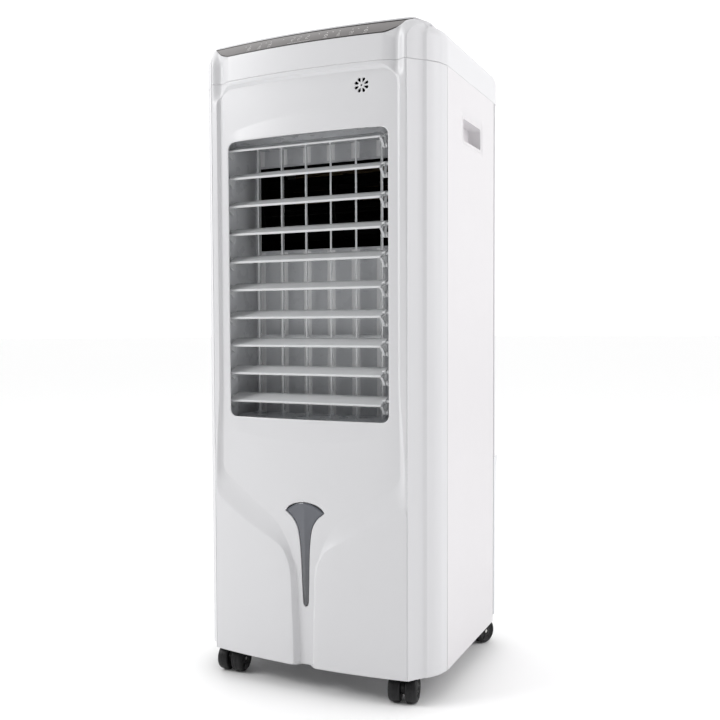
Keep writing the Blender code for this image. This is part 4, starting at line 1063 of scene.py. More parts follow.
def make_lid():
    # outline: front follows the panel, sides straight, rear rounded
    xs = np.linspace(-152, 152, 61)
    front = []
    for x in xs:
        y, z = panel_high(max(-150, min(150, x)))
        front.append((float(x), y + 1.35))
    rc = catmull([(152.0, front[-1][1]), (158.5, -119.0), (164.0, -112.8), (166.4, -106.0)], 6)[1:]
    side = [(166.4, float(y)) for y in np.linspace(-100, 120, 24)]
    back = [(166.4 - 14 * (1 - math.cos(math.radians(a))), 121.5 + 14 * math.sin(math.radians(a))) for a in range(10, 91, 10)]
    rear = [(float(x), 135.5) for x in np.linspace(150, -150, 40)]
    half = rc + side + back
    loop = [(x, y) for x, y in front] + half + rear[1:-1] + [(-x, y) for x, y in half[::-1]]
    n = len(loop)
    cen = (0.0, 12.0)

    def edge_z(x, y):
        # the front edge rides just over the panel; the corners drop with the shoulder
        drop_ = 4.6 * float(smooth((abs(x) - 146.0) / 20.0))
        return 887.6 - drop_
    rings = []
    prof = [(0.0, 0.0, 0.0), (0.0, 0.0, 2.4), (0.1, 0.0, 3.7), (0.35, 0.0, 4.5), (0.9, 0.0, 5.05), (1.9, 0.0, 5.35), (4.5, 0, 5.5), (12.0, 0, 5.6), (40, 0, 5.66), (80, 0, 5.7)]
    for inset, _, dz in prof:
        ring = []
        for x, y in loop:
            L = math.hypot(x - cen[0], y - cen[1])
            hx = x - (x / 166.0) * inset
            hy = y - ((y - cen[1]) / 125.0) * inset
            ez = edge_z(x, y)
            zt = ez + dz
            # blend to one flat crown inside
            f = float(smooth((inset - 4.0) / 34.0))
            zt = zt * (1 - f) + 893.25 * f
            ring.append((hx, hy, min(893.3, zt)))
        rings.append(ring)
    # underside
    under = [[(x - (x / 166.0) * 1.6, y - ((y - cen[1]) / 125.0) * 1.6, edge_z(x, y) - 0.2) for x, y in loop],
             [(x - (x / 166.0) * 2.4, y - ((y - cen[1]) / 125.0) * 2.4, edge_z(x, y) + 2.4) for x, y in loop],
             [(x - (x / 166.0) * 60, y - ((y - cen[1]) / 125.0) * 60, 890.9) for x, y in loop]]
    verts, faces = [], []
    allr = rings
    for r in allr:
        for p in r:
            verts.append(D(*p))
    nr = len(allr)
    for k in range(nr - 1):
        for i in range(n):
            j = (i + 1) % n
            faces.append((k * n + i, k * n + j, (k + 1) * n + j, (k + 1) * n + i))
    faces.append(tuple((nr - 1) * n + i for i in range(n)))
    base = len(verts)
    for r in under:
        for p in r:
            verts.append(D(*p))
    for i in range(n):
        j = (i + 1) % n
        faces.append((i, base + i, base + j, j))
    for k in range(len(under) - 1):
        for i in range(n):
            j = (i + 1) % n
            faces.append((base + k * n + i, base + (k + 1) * n + i, base + (k + 1) * n + j, base + k * n + j))
    faces.append(tuple(base + (len(under) - 1) * n + i for i in range(n))[::-1])
    bm = bmesh.new()
    vs = [bm.verts.new(v) for v in verts]
    for f in faces:
        bm.faces.new([vs[i] for i in f])
    ob = from_bm("top_lid_skin", bm, M["white"], "top_lid", 40)
    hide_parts("top_lid")
    # stiffening ribs moulded under the lid
    bm = bmesh.new()
    for x in (-112.0, 0.0, 112.0):
        bm_box(x - 0.9, x + 0.9, -88.0, 108.0, 888.0, 891.2, bm)
    for y in (-60.0, 84.0):
        bm_box(-118.0, 118.0, y - 0.9, y + 0.9, 888.0, 891.2, bm)
    rb = from_bm("lid_ribs", bm, M["white"], "top_lid", 40)
    bevel(rb, 0.35, 2)
    # near-black strip under the lid's front corners: painted shade for the gap between lid and cover
    for sg, tag in ((1, "right"), (-1, "left")):
        path = catmull([(156.0, -121.6), (158.9, -119.5), (164.4, -113.2), (166.8, -106.4), (166.9, -96.0)], 6)
        bm = bmesh.new()
        prev = None
        for x, y in path:
            L = math.hypot(x - cen[0], (y - cen[1]))
            nx, ny = (x - cen[0]) / L, (y - cen[1]) / L
            ez = edge_z(x, y)
            ring = [bm.verts.new(D(sg * (x + nx * o), y + ny * o, ez + h)) for o, h in ((-0.8, -1.0), (0.35, -1.0), (0.5, -0.2), (0.3, 0.5), (-0.8, 0.5))]
            if prev:
                for j in range(5):
                    bm.faces.new((prev[j], ring[j], ring[(j + 1) % 5], prev[(j + 1) % 5]))
            else:
                bm.faces.new(ring)
            prev = ring
        bm.faces.new(prev[::-1])
        from_bm("lid_gap_shade_" + tag, bm, M["rubber"], "top_lid", 50)


# ------------------------------------------------------------------ side panels
def make_side(side, sg):
    pts, edges = [], []

    def line(poly, closed):
        i0 = len(pts)
        pts.extend([(float(p[0]), float(p[1])) for p in poly])
        n = len(poly)
        for k in range(n if closed else n - 1):
            edges.append((i0 + k, i0 + (k + 1) % n))
    ya, yb, za, zb = SEAM_Y + 0.45, PANEL_REAR_Y - 0.05, SKIRT_Z, COVER_Z - 0.17
    cy = [ya, ya + 0.5, ya + 1.2, ya + 2.5] + list(np.arange(-80, 126, 9.0)) + [yb - 4.5, yb - 3.0, yb - 1.8, yb - 0.9, yb - 0.3, yb]
    cz = [za, za + 0.6, za + 1.6] + list(np.arange(46, 830, 12.0)) + [zb - 1.6, zb - 0.6, zb]
    line([(c, za) for c in cy] + [(yb, r) for r in cz[1:]] + [(c, zb) for c in cy[-2::-1]] + [(ya, r) for r in cz[-2:0:-1]], True)
    frame_l = {}
    for off in (0.0, 0.5, 1.0, 1.6):
        line(rrect(-22.6 - off, 66.6 + off, 748.6 - off, 787.0 + off, 5.0 + off, 6), True)
    for off in (-2.6, -3.1, -3.8):
        line(rrect(-22.6 - off, 66.6 + off, 748.6 - off, 787.0 + off, max(1.2, 5.0 + off), 6), True)
    inner = rrect(-18.0, 62.0, 753.0, 782.6, 3.6, 6)
    for off in (0.0, 0.4, 0.9):
        line(rrect(-18.0 - off * 0 + 0 - off + off, 62.0, 753.0, 782.6, 3.6, 6) if off == 0 else rrect(-18.0 - off * 0.3, 62.0 + off * 0.3, 753.0 - off * 0.3, 782.6 + off * 0.3, 3.6, 6), True)
    G = np.array([(c, r) for c in cy[1:-1] for r in cz[1:-1]])
    fr = rrect(-22.6, 66.6, 748.6, 787.0, 5.0, 6)
    ok = (seg_dist(fr, G) > 4.0) & ~inside_np(fr, G)
    G = G[ok]
    pts.extend([tuple(p) for p in G])
    P, tri = cdt_surface(pts, edges, lambda C: ~inside_np(inner, C), None)
    y, z = P[:, 0], P[:, 1]
    dfr = seg_dist(fr, P)
    inn = inside_np(fr, P)
    sd = np.where(inn, -dfr, dfr)
    # a shallow groove round the finger recess, 0.55 mm deep, then a step down inside it
    bead = -0.0 * sd
    step = np.where(sd < -0.2, 0.9 * smooth((-sd - 0.2) / 2.6), 0.0)
    groove = 0.55 * np.clip(1 - np.abs(sd - 0.8) / 0.9, 0, 1)
    rear = np.clip((y - (yb - 4.5)) / 4.5, 0, 1)
    rr = 4.2 * (1 - np.sqrt(np.clip(1 - rear ** 2, 0, 1)))
    fr_e = np.clip(1 - (y - ya) / 1.2, 0, 1)
    r2 = 0.5 * (1 - np.sqrt(np.clip(1 - fr_e ** 2, 0, 1)))
    dep = step + groove + rr + r2
    verts = [D(sg * (SIDE_X - d), a, b) for d, a, b in zip(dep, y, z)]
    bm = bmesh.new()
    vs = [bm.verts.new(v) for v in verts]
    for f in tri:
        # (y, z) counter-clockwise looks along -x, so the right side keeps it
        bm.faces.new([vs[i] for i in (f if sg > 0 else f[::-1])])
    # pocket behind the inner edge
    prev = None
    loops = []
    for k in range(0, 9):
        t = k / 8.0
        dpt = 0.9 + 17.5 * t
        fy = -18.0 + 24.0 * smooth(np.array([t]))[0]
        top_in = 0.6 + 2.5 * t
        lp = rrect(fy, 62.0 - 1.5 * t, 753.0 + 2.0 * t, 782.6 - 1.0 * t, 3.6 + 2.0 * t, 6)
        loops.append([bm.verts.new(D(sg * (SIDE_X - dpt), a, b)) for a, b in lp])
    for a, b in zip(loops, loops[1:]):
        n = len(a)
        for i in range(n):
            f = (a[i], a[(i + 1) % n], b[(i + 1) % n], b[i])
            bm.faces.new(f if sg < 0 else f[::-1])
    bm.faces.new(loops[-1] if sg > 0 else loops[-1][::-1])
    bmesh.ops.remove_doubles(bm, verts=bm.verts, dist=0.00001)
    bmesh.ops.recalc_face_normals(bm, faces=bm.faces)
    # outward is +-X: fix if the recalculation chose the other side
    bm.faces.ensure_lookup_table()
    big = max(bm.faces, key=lambda f: f.calc_area())
    if big.normal.x * sg < 0:
        bmesh.ops.reverse_faces(bm, faces=bm.faces)
    me = bpy.data.meshes.new("side_skin_" + side)
    bm.to_mesh(me)
    bm.free()
    ob = finish_mesh("side_skin_" + side, me, M["side"], "cabinet", 40)
    md = ob.modifiers.new("wall", 'SOLIDIFY')
    md.thickness = 0.0022
    md.offset = -1.0
    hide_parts("side_panel_" + side)


# ------------------------------------------------------------------ louvres
def make_louvres():
    c, s = math.cos(TILT), math.sin(TILT)

    def sec(z, trim=0.0):
        # rounded bead at the front, thin blade behind it, soft rear edge
        raw = [(0.35, 0.1), (0.9, -0.2), (2.0, -0.28), (3.4, 0.1), (6.0, 0.12), (14.0, 0.15), (22.0, 0.2), (CHORD - 0.6, 0.3), (CHORD - 0.1, 0.6),
               (CHORD - 0.1, 1.1), (CHORD - 0.6, 1.5), (21.0, 1.9), (13.0, 2.1), (7.0, 2.4), (3.6, 2.75), (2.4, 3.0), (1.3, 3.05), (0.5, 2.7), (0.1, 2.0), (0.05, 1.0)]
        cu, cw = 14.0, 1.4
        raw = [(cu + (u - cu) * (1 - trim / 14.0), cw + (w - cw) * (1 - trim / 3.2)) for u, w in raw]
        return [(LIP_Y + u * c - w * s, z + u * s + w * c) for u, w in raw]
    for k in range(10):
        z = LIP_Z - L_PITCH * k
        pz = z + PIVOT_DZ
        body = "louvre_%02d" % (k + 1)
        bm = bmesh.new()
        xs = [(BLADE_X0, 0.7), (BLADE_X0 + 0.15, 0.3), (BLADE_X0 + 0.6, 0.0)] + [(float(v), 0.0) for v in np.linspace(BLADE_X0 + 4, BLADE_X1 - 4, 26)] + [(BLADE_X1 - 0.6, 0.0), (BLADE_X1 - 0.15, 0.3), (BLADE_X1, 0.7)]
        rings = [[bm.verts.new(D(x, a, b)) for a, b in sec(z, t)] for x, t in xs]
        for a, b in zip(rings, rings[1:]):
            n = len(a)
            for i in range(n):
                bm.faces.new((a[i], b[i], b[(i + 1) % n], a[(i + 1) % n]))
        bm.faces.new(rings[0])
        bm.faces.new(rings[-1][::-1])
        ob = from_bm("blade_%02d" % (k + 1), bm, M["blade"], body, 42)
        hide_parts(body)
        # pivots with shoulders
        bm = bmesh.new()
        bm_turn([(0, 0), (1.7, 0), (2.1, 0.4), (2.1, 6.4), (0, 6.4)], (-135.0, PIVOT_Y, pz), (1, 0, 0), 18, bm)
        bm_turn([(0, 0), (3.5, 0), (3.5, 1.3), (3.0, 1.8), (0, 1.8)], (BLADE_X0 - 1.4, PIVOT_Y, pz), (1, 0, 0), 22, bm)
        L = 151.4 - BLADE_X1
        bm_turn([(0, -3.6), (2.6, -3.6), (3.4, 0.2), (3.4, 1.6), (2.1, 2.2), (2.1, L - 0.4), (1.7, L), (0, L)], (BLADE_X1, PIVOT_Y, pz), (1, 0, 0), 18, bm)
        from_bm("blade_pivots_%02d" % (k + 1), bm, M["blade"], body, 40)
        # crank: an open looped arm under the right end, ending in the eye of the crank pin
        bm = bm_turn([(0, -2.0), (1.9, -2.0), (3.3, -1.7), (3.5, -1.2), (3.5, 0.8), (3.1, 1.3), (1.5, 1.5), (1.5, 6.0), (1.1, 6.5), (0, 6.5)], (BLADE_X1, PIVOT_Y, pz - CRANK_R), (1, 0, 0), 22)
        from_bm("blade_crank_pin_%02d" % (k + 1), bm, M["blade"], body, 40)
        # rim of the loop
        bm = bmesh.new()
        rim = [(LIP_Y + 2.8, z + 0.4), (LIP_Y + 6.4, z - 2.8), (PIVOT_Y - 4.0, pz - CRANK_R + 2.2), (PIVOT_Y - 2.6, pz - CRANK_R - 1.2), (PIVOT_Y, pz - CRANK_R - 2.7), (PIVOT_Y + 2.7, pz - CRANK_R - 0.8), (PIVOT_Y + 5.2, pz - 5.0), (PIVOT_Y + 7.4, z + 9.4)]
        pp = catmull(rim, 4)
        prev = None
        for q in pp:
            ring = [bm.verts.new(D(BLADE_X1 + dx, q[0] + dy, q[1] + dz)) for dx, dy, dz in ((-2.6, -0.8, -0.4), (0.9, -0.8, -0.4), (0.9, 0.8, 0.4), (-2.6, 0.8, 0.4))]
            if prev:
                for j in range(4):
                    bm.faces.new((prev[j], ring[j], ring[(j + 1) % 4], prev[(j + 1) % 4]))
            else:
                bm.faces.new(ring)
            prev = ring
        bm.faces.new(prev[::-1])
        ob = from_bm("blade_crank_rim_%02d" % (k + 1), bm, M["blade"], body, 50)
        # small plate at the left end
        g = [(LIP_Y + 1.6, z + 0.6), (LIP_Y + 5.0, z - 3.4), (LIP_Y + 12.6, z - 8.0), (LIP_Y + 15.4, z - 8.6), (LIP_Y + 17.2, z - 7.0), (LIP_Y + 17.6, z - 4.0), (LIP_Y + 18.6, z + 8.2), (LIP_Y + 9.0, z + 4.4)]
        gs = from_bm("blade_gusset_%02d" % (k + 1), bm_prism(g, 'x', BLADE_X0 + 0.1, BLADE_X0 + 1.5), M["blade"], body, 40)
        bevel(gs, 0.3, 2)
    # link bar
    z_top = LIP_Z + PIVOT_DZ - CRANK_R
    z_bot = z_top - 9 * L_PITCH
    x0, x1 = BLADE_X1 + 2.3, BLADE_X1 + 5.1
    bm = bm_box(x0, x1, PIVOT_Y + 15, PIVOT_Y + 18, z_bot - 5, z_top + 5)
    for k in range(10):
        zz = z_top - k * L_PITCH
        hook = []
        for i in range(13):
            a = math.radians(20 + 320.0 * i / 12)
            hook.append((PIVOT_Y + 3.7 * math.cos(a), zz + 3.7 * math.sin(a)))
        for i in range(12, -1, -1):
            a = math.radians(20 + 320.0 * i / 12)
            hook.append((PIVOT_Y + 1.8 * math.cos(a), zz + 1.8 * math.sin(a)))
        bm_prism(hook, 'x', x0, x1, bm)
        bm_box(x0 + 0.2, x1 - 0.2, PIVOT_Y + 3.2, PIVOT_Y + 15.4, zz - 2.0, zz + 2.0, bm)
    lk = from_bm("louvre_link_bar", bm, M["blade"], "louvre_link", 40)
    bevel(lk, 0.25, 2)
    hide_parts("louvre_link")


# ------------------------------------------------------------------ vanes
VANE_REST = math.radians(26.0)


def turned(bm, x, y, angle):
    bmesh.ops.rotate(bm, cent=D(x, y, 0), matrix=Matrix.Rotation(angle, 3, 'Z'), verts=bm.verts)
    return bm


def make_vanes():
    for k in range(7):
        x = (k - 3) * PITCH
        body = "vane_%d" % (k + 1)
        # outline with a notch for the link, rounded corners
        def rc(pts, r=2.0):
            return pts
        zl = VANE_LINK_Z
        out = [(VANE_Y0, VANE_Z0 + 1), (VANE_Y0 + 1, VANE_Z0), (VANE_Y1 - 5, VANE_Z0), (VANE_Y1 - 1.5, VANE_Z0 + 1.5), (VANE_Y1, VANE_Z0 + 5),
               (VANE_Y1, zl - 7.5), (VANE_Y1 - 1.0, zl - 6), (VANE_PIN_Y - 8, zl - 6), (VANE_PIN_Y - 9, zl - 5), (VANE_PIN_Y - 9, zl + 5), (VANE_PIN_Y - 8, zl + 6),
               (VANE_Y1 - 1.0, zl + 6), (VANE_Y1, zl + 7.5), (VANE_Y1, VANE_Z1 - 6), (VANE_Y1 - 1.8, VANE_Z1 - 1.8), (VANE_Y1 - 6, VANE_Z1), (VANE_Y0 + 1, VANE_Z1), (VANE_Y0, VANE_Z1 - 1)]
        bm = turned(bm_prism(out, 'x', x - 0.8, x + 0.8), x, VANE_PIVOT_Y, VANE_REST)
        ob = from_bm("vane_plate_%d" % (k + 1), bm, M["vane"], body, 40)
        bevel(ob, 0.35, 2)
        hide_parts(body)
        # beaded front edge, end hubs, stiffening ribs and the link pin
        bm = bm_turn([(0, 0), (0.9, 0), (1.25, 0.8), (1.25, VANE_Z1 - VANE_Z0 - 0.8), (0.9, VANE_Z1 - VANE_Z0), (0, VANE_Z1 - VANE_Z0)],
                     (x, VANE_Y0 + 1.0, VANE_Z0), (0, 0, 1), 14)
        for za in (VANE_Z1 - 6, VANE_Z0 - 5.6):
            bm_turn([(0, 0), (2.1, 0), (2.1, 11.2), (1.7, 11.6), (0, 11.6)], (x, VANE_PIVOT_Y, za), (0, 0, 1), 14, bm)
        bm_turn([(0, 0), (3.1, 0), (3.1, 3.0), (2.4, 4.0), (0, 4.0)], (x, VANE_PIVOT_Y, VANE_Z1 - 4.2), (0, 0, 1), 16, bm)
        bm_turn([(0, 0), (2.4, 0), (3.1, 1.0), (3.1, 4.0), (0, 4.0)], (x, VANE_PIVOT_Y, VANE_Z0 + 0.2), (0, 0, 1), 16, bm)
        bm_turn([(0, 0), (1.5, 0), (1.5, 18), (0, 18)], (x, VANE_PIN_Y, VANE_LINK_Z - 9), (0, 0, 1), 12, bm)
        turned(bm, x, VANE_PIVOT_Y, VANE_REST)
        from_bm("vane_hubs_%d" % (k + 1), bm, M["vane"], body, 40)
        bm = bm_box(x - 1.15, x + 1.15, VANE_Y1 - 1.8, VANE_Y1 - 0.2, VANE_Z0 + 8, zl - 10)
        bm_box(x - 1.15, x + 1.15, VANE_Y1 - 1.8, VANE_Y1 - 0.2, zl + 10, VANE_Z1 - 10, bm)
        turned(bm, x, VANE_PIVOT_Y, VANE_REST)
        rb = from_bm("vane_ribs_%d" % (k + 1), bm, M["vane"], body, 40)
        bevel(rb, 0.3, 2)
    # link with a clip round each pin, through the notches
    z = VANE_LINK_Z
    reach = VANE_PIN_Y - VANE_PIVOT_Y
    ox = -reach * math.sin(VANE_REST)
    py = VANE_PIVOT_Y + reach * math.cos(VANE_REST)
    x0, x1 = -3 * PITCH - 5 + ox, 3 * PITCH + 5 + ox
    bm = bm_box(x0, x1, py + 1.9, py + 3.4, z - 3, z + 3)
    for k in range(7):
        x = (k - 3) * PITCH + ox
        hook = []
        for i in range(13):
            a = math.radians(-70 + 320.0 * i / 12)
            hook.append((x + 3.4 * math.cos(a), py + 3.4 * math.sin(a)))
        for i in range(12, -1, -1):
            a = math.radians(-70 + 320.0 * i / 12)
            hook.append((x + 1.8 * math.cos(a), py + 1.8 * math.sin(a)))
        bm_prism(hook, 'z', z - 2.6, z + 2.6, bm)
    bm_box(x0, x1, py - 3.4, py - 2.0, z - 0.8, z + 0.8, bm)
    lk = from_bm("vane_link_bar", bm, M["vane"], "vane_link", 40)
    bevel(lk, 0.2, 2)
    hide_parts("vane_link")


def make_duct_ribs():
    """Shallow moulded ribs on the back wall, broken by the blower outlet; their brighter colour is painted light, the
    bands of light falling between the vanes.
    """
    y1 = DUCT_Y1 - 3.0
    for k, x in enumerate(RIB_X):
        bm = bmesh.new()
        spans = [(DUCT_Z0 + 3.2, OUT_Z0 - 3.0), (OUT_Z1 + 3.0, DUCT_Z1 - 3.2)] if x < OUT_X1 + 8 else [(DUCT_Z0 + 3.2, DUCT_Z1 - 3.2)]
        for za, zb in spans:
            sec = [(x - 6.2, y1 + 0.05), (x - 6.0, y1 - 0.9), (x - 5.2, y1 - 1.5), (x - 2.5, y1 - 1.7), (x, y1 - 1.7), (x + 2.5, y1 - 1.5), (x + 4.6, y1 - 1.1), (x + 6.0, y1 - 0.6), (x + 6.8, y1 + 0.05)]
            bm_prism(sec, 'z', za, zb, bm)
        from_bm("duct_rib_%d" % (k + 1), bm, M["rib"], "cabinet", 35)
    # turned-in frame round the blower outlet
    bm = bmesh.new()
    loops = []
    for off, yy in ((3.2, y1 - 0.02), (2.6, y1 - 0.9), (1.6, y1 - 1.2), (0.5, y1 - 0.9), (0.1, y1 - 0.2), (0.1, y1 + 2.6)):
        lp = rrect(OUT_X0 - off, OUT_X1 + off, OUT_Z0 - off, OUT_Z1 + off, 5.0 + off, 6)
        loops.append([bm.verts.new(D(a, yy, b)) for a, b in lp])
    for a, b in zip(loops, loops[1:]):
        n = len(a)
        for i in range(n):
            bm.faces.new((a[i], a[(i + 1) % n], b[(i + 1) % n], b[i]))
    from_bm("outlet_frame", bm, M["duct"], "cabinet", 35, recalc=False)


RIB_X = [-141.0, -101.5, -61.5, -21.5, 18.5, 58.5, 98.5, 138.0]


# ------------------------------------------------------------------ casters
def heading_frame(h):
    a = math.radians(h)
    t = Vector((-math.sin(a), math.cos(a), 0))
    return t, Vector((t.y, -t.x, 0))


def make_casters():
    for name, sx, sy, h in CASTERS:
        t, ax = heading_frame(h)
        cx, cy = sx + t.x * TRAIL, sy + t.y * TRAIL
        zc = WHEEL_R
        body = "caster_body_" + name

        def loc(u, w, z):
            return D(sx + t.x * u + ax.x * w, sy + t.y * u + ax.y * w, z)

        def plate(poly, w0, w1, bm=None):
            bm = bm or bmesh.new()
            lo = [bm.verts.new(loc(u, w0, z)) for u, z in poly]
            hi = [bm.verts.new(loc(u, w1, z)) for u, z in poly]
            bm.faces.new(lo)
            bm.faces.new(hi[::-1])
            n = len(poly)
            for i in range(n):
                bm.faces.new((lo[i], hi[i], hi[(i + 1) % n], lo[(i + 1) % n]))
            return bm
        web = catmull([(TRAIL - 9, zc - 4), (TRAIL, zc - 9), (TRAIL + 9, zc - 4), (TRAIL + 13, zc + 6), (TRAIL + 7, zc + 15),
                       (TRAIL - 2, zc + 20.0), (-6, zc + 21.6), (-8, zc + 16), (-6, zc + 6)], 4, True)
        ob = from_bm("caster_web_" + name, plate(web, -2.8, 2.8), M["black"], body, 40)
        bevel(ob, 0.5, 2)
        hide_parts(body)
        # hood: curved cover with rolled sides
        rows = []
        bm = bmesh.new()
        n = 22
        a0, a1 = math.radians(56), math.radians(160)
        for k in range(n + 1):
            a = a0 + (a1 - a0) * k / n
            row = []
            for w, r in ((-8.2, 20.2), (-8.2, 21.0), (-7.6, 21.6), (-5.5, 21.9), (0, 22.0), (5.5, 21.9), (7.6, 21.6), (8.2, 21.0), (8.2, 20.2), (7.4, 19.5), (0, 19.4), (-7.4, 19.5)):
                row.append(bm.verts.new(loc(TRAIL + r * math.cos(a), w, min(zc + r * math.sin(a), 40.6))))
            rows.append(row)
        for a, b in zip(rows, rows[1:]):
            m = len(a)
            for i in range(m):
                bm.faces.new((a[i], a[(i + 1) % m], b[(i + 1) % m], b[i]))
        bm.faces.new(rows[0][::-1])
        bm.faces.new(rows[-1])
        from_bm("caster_hood_" + name, bm, M["black"], body, 45)
        bm = bm_turn([(0, 35.9), (6.6, 35.9), (7.2, 36.8), (7.6, 39), (7.6, 45.6), (7.2, 46.0), (0, 46.0)], (sx, sy, 0), (0, 0, 1), 28)
        bm_turn([(0, 44), (4.8, 44), (4.8, 62.4), (4.2, 63.0), (0, 63.0)], (sx, sy, 0), (0, 0, 1), 20, bm)
        from_bm("caster_stem_" + name, bm, M["black"], body, 40)
        bm = bm_turn([(0, -18.6), (2.4, -18.6), (2.8, -18.2), (2.8, 18.2), (2.4, 18.6), (0, 18.6)], (cx, cy, zc), ax, 20)
        from_bm("caster_axle_" + name, bm, M["steel"], body, 40)
        for tag, sg in (("a", 1), ("b", -1)):
            wn = "caster_wheel_%s_%s" % (name, tag)
            # tyre profile with two tread grooves, then dished disc with a hub
            prof = [(3.3, WHEEL_IN), (15.8, WHEEL_IN), (17.0, WHEEL_IN + 0.25), (17.9, WHEEL_IN + 0.9), (18.4, WHEEL_IN + 1.9), (18.45, 6.6), (18.15, 6.8), (18.15, 7.1), (18.45, 7.3),
                    (18.45, 10.6), (18.15, 10.8), (18.15, 11.1), (18.45, 11.3), (18.4, WHEEL_OUT - 4.6), (18.05, WHEEL_OUT - 3.0), (17.2, WHEEL_OUT - 1.7), (16.0, WHEEL_OUT - 0.9),
                    (14.6, WHEEL_OUT - 0.35), (13.9, WHEEL_OUT - 0.2), (13.5, WHEEL_OUT - 1.0), (12.6, WHEEL_OUT - 1.5), (6.6, WHEEL_OUT - 1.5), (6.0, WHEEL_OUT - 0.9), (5.2, WHEEL_OUT - 0.5), (3.3, WHEEL_OUT - 0.5)]
            bm = bm_turn([(r, sg * w) for r, w in prof], (cx, cy, zc), ax, 56)
            ob = from_bm("wheel_%s_%s" % (name, tag), bm, M["tread"], wn, 35)
            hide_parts(wn)
            bm = bmesh.new()
            for k in range(6):
                a = math.tau * k / 6
                u = Vector((math.cos(a), math.sin(a)))
                pv = Vector((-u.y, u.x))
                quad = [(u * 7.2 + pv * -0.7), (u * 12.4 + pv * -0.9), (u * 12.4 + pv * 0.9), (u * 7.2 + pv * 0.7)]
                lo = [bm.verts.new(loc(TRAIL + q.x, sg * (WHEEL_OUT - 1.6), zc + q.y)) for q in quad]
                hi = [bm.verts.new(loc(TRAIL + q.x, sg * (WHEEL_OUT - 0.6), zc + q.y)) for q in quad]
                bm.faces.new(lo)
                bm.faces.new(hi)
                for i in range(4):
                    bm.faces.new((lo[i], lo[(i + 1) % 4], hi[(i + 1) % 4], hi[i]))
            sp = from_bm("wheel_spokes_%s_%s" % (name, tag), bm, M["black"], wn, 40)
            bevel(sp, 0.2, 2)
        if name.startswith("rear"):
            ped = [(TRAIL + 13.6, zc + 14.4), (TRAIL + 19.0, zc + 11.3), (TRAIL + 24.6, zc + 8.6), (TRAIL + 26.0, zc + 9.8), (TRAIL + 26.0, zc + 11.6), (TRAIL + 20.5, zc + 14.2), (TRAIL + 14.8, zc + 16.9)]
            bm = plate(ped, -7.0, 7.0)
            for k in range(3):
                u = TRAIL + 18.2 + 2.2 * k
                plate([(u, zc + 14.6 - 1.2 * k), (u + 0.9, zc + 14.2 - 1.2 * k), (u + 0.9, zc + 15.0 - 1.25 * k), (u, zc + 15.4 - 1.25 * k)], -5.5, 5.5, bm)
            ob = from_bm("brake_pedal_" + name, bm, M["black"], "brake_lever_" + name, 40)
            bevel(ob, 0.4, 2)
            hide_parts("brake_lever_" + name)


# ------------------------------------------------------------------ carried-over nodes
def dress_cad():
    look = {"outlet_duct": "duct", "blower_housing": "dark", "blower_rotor": "dark", "back_frame": "grey", "base_pan": "grey", "water_tray": "grey",
            "control_board": "board", "blower_motor": "steel", "motor_bracket": "steel", "swing_motor": "steel", "tank": "tank", "tank_latch_left": "grey",
            "tank_latch_right": "grey", "drain_plug": "black", "pump": "black", "pump_hose": "hose", "cooling_pad": "pad", "rear_grille": "white",
            "dust_net": "net", "cord_gland": "rubber"}
    for n, m in look.items():
        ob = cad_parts[n]
        ob.data.materials.clear()
        ob.data.materials.append(M[m])


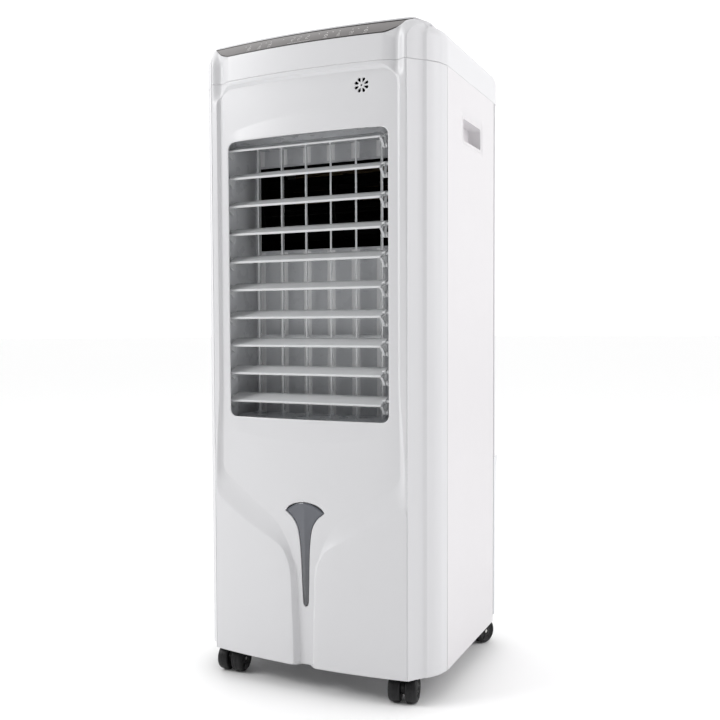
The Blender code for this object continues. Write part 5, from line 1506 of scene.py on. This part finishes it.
# ------------------------------------------------------------------ stage
def make_stage():
    bm = bmesh.new()
    bmesh.ops.create_circle(bm, cap_ends=True, segments=96, radius=40.0)
    me = bpy.data.meshes.new("studio_floor")
    bm.to_mesh(me)
    bm.free()
    ob = bpy.data.objects.new("studio_floor", me)
    m, nt, b = nodes_of("studio_floor")
    b.inputs["Base Color"].default_value = (0.96, 0.96, 0.96, 1)
    b.inputs["Roughness"].default_value = 0.7
    b.inputs["Specular IOR Level"].default_value = 0.3
    me.materials.append(m)
    bpy.context.scene.collection.objects.link(ob)
    w = bpy.data.worlds.new("studio")
    bpy.context.scene.world = w
    w.use_nodes = True
    wt = w.node_tree
    bg = wt.nodes["Background"]
    bg.inputs["Strength"].default_value = 1.0
    # soft studio: a bright sweep behind the object, a dimmer room in front of it
    tc = wt.nodes.new("ShaderNodeTexCoord")
    mp = wt.nodes.new("ShaderNodeVectorMath")
    mp.operation = 'DOT_PRODUCT'
    mp.inputs[1].default_value = Vector(WORLD_DIR).normalized()
    wt.links.new(tc.outputs["Generated"], mp.inputs[0])
    mr = wt.nodes.new("ShaderNodeMapRange")
    mr.interpolation_type = 'SMOOTHSTEP'
    mr.inputs["From Min"].default_value = -0.35
    mr.inputs["From Max"].default_value = 0.62
    mr.inputs["To Min"].default_value = WORLD_FRONT
    mr.inputs["To Max"].default_value = WORLD_BACK
    wt.links.new(mp.outputs["Value"], mr.inputs["Value"])
    wt.links.new(mr.outputs["Result"], bg.inputs["Color"])

    def area(name, loc, target, size, power, col=(1, 1, 1)):
        L = bpy.data.lights.new(name, 'AREA')
        L.shape = 'RECTANGLE'
        L.size, L.size_y = size
        L.energy = power
        L.color = col
        o = bpy.data.objects.new(name, L)
        o.location = loc
        d = Vector(target) - Vector(loc)
        o.rotation_euler = d.to_track_quat('-Z', 'Y').to_euler()
        bpy.context.scene.collection.objects.link(o)
    for spec in LIGHTS:
        area(*spec)


WORLD_DIR = (-0.25, 0.75, 0.75)
WORLD_FRONT, WORLD_BACK = 0.16, 1.27
LIGHTS = [("soft_left", (-2.1, -1.7, 2.1), (0, -0.1, 0.55), (1.1, 1.1), 37.0),
          ("soft_right", (2.2, 0.1, 1.3), (0.18, 0, 0.5), (1.0, 1.8), 15.0, (1.0, 0.985, 1.0))]


def make_camera():
    cam = bpy.data.cameras.new("camera")
    cam.lens = 43.52
    cam.sensor_width = 36.0
    cam.clip_start = 0.05
    ob = bpy.data.objects.new("camera", cam)
    ob.location = (0.5616, -1.1805, 0.4978)
    ob.rotation_mode = 'XYZ'
    R = Matrix.Rotation(math.radians(24.92), 4, 'Z') @ Matrix.Rotation(math.radians(87.74), 4, 'X') @ Matrix.Rotation(-0.004, 4, 'Z')
    ob.rotation_euler = R.to_euler('XYZ')
    bpy.context.scene.collection.objects.link(ob)
    bpy.context.scene.camera = ob
    bpy.context.scene.view_settings.view_transform = 'Standard'


make_camera()
make_stage()
make_front()
make_cover()
make_panel()
make_lid()
make_side("right", 1)
make_side("left", -1)
make_louvres()
make_vanes()
make_duct_ribs()
make_casters()
dress_cad()
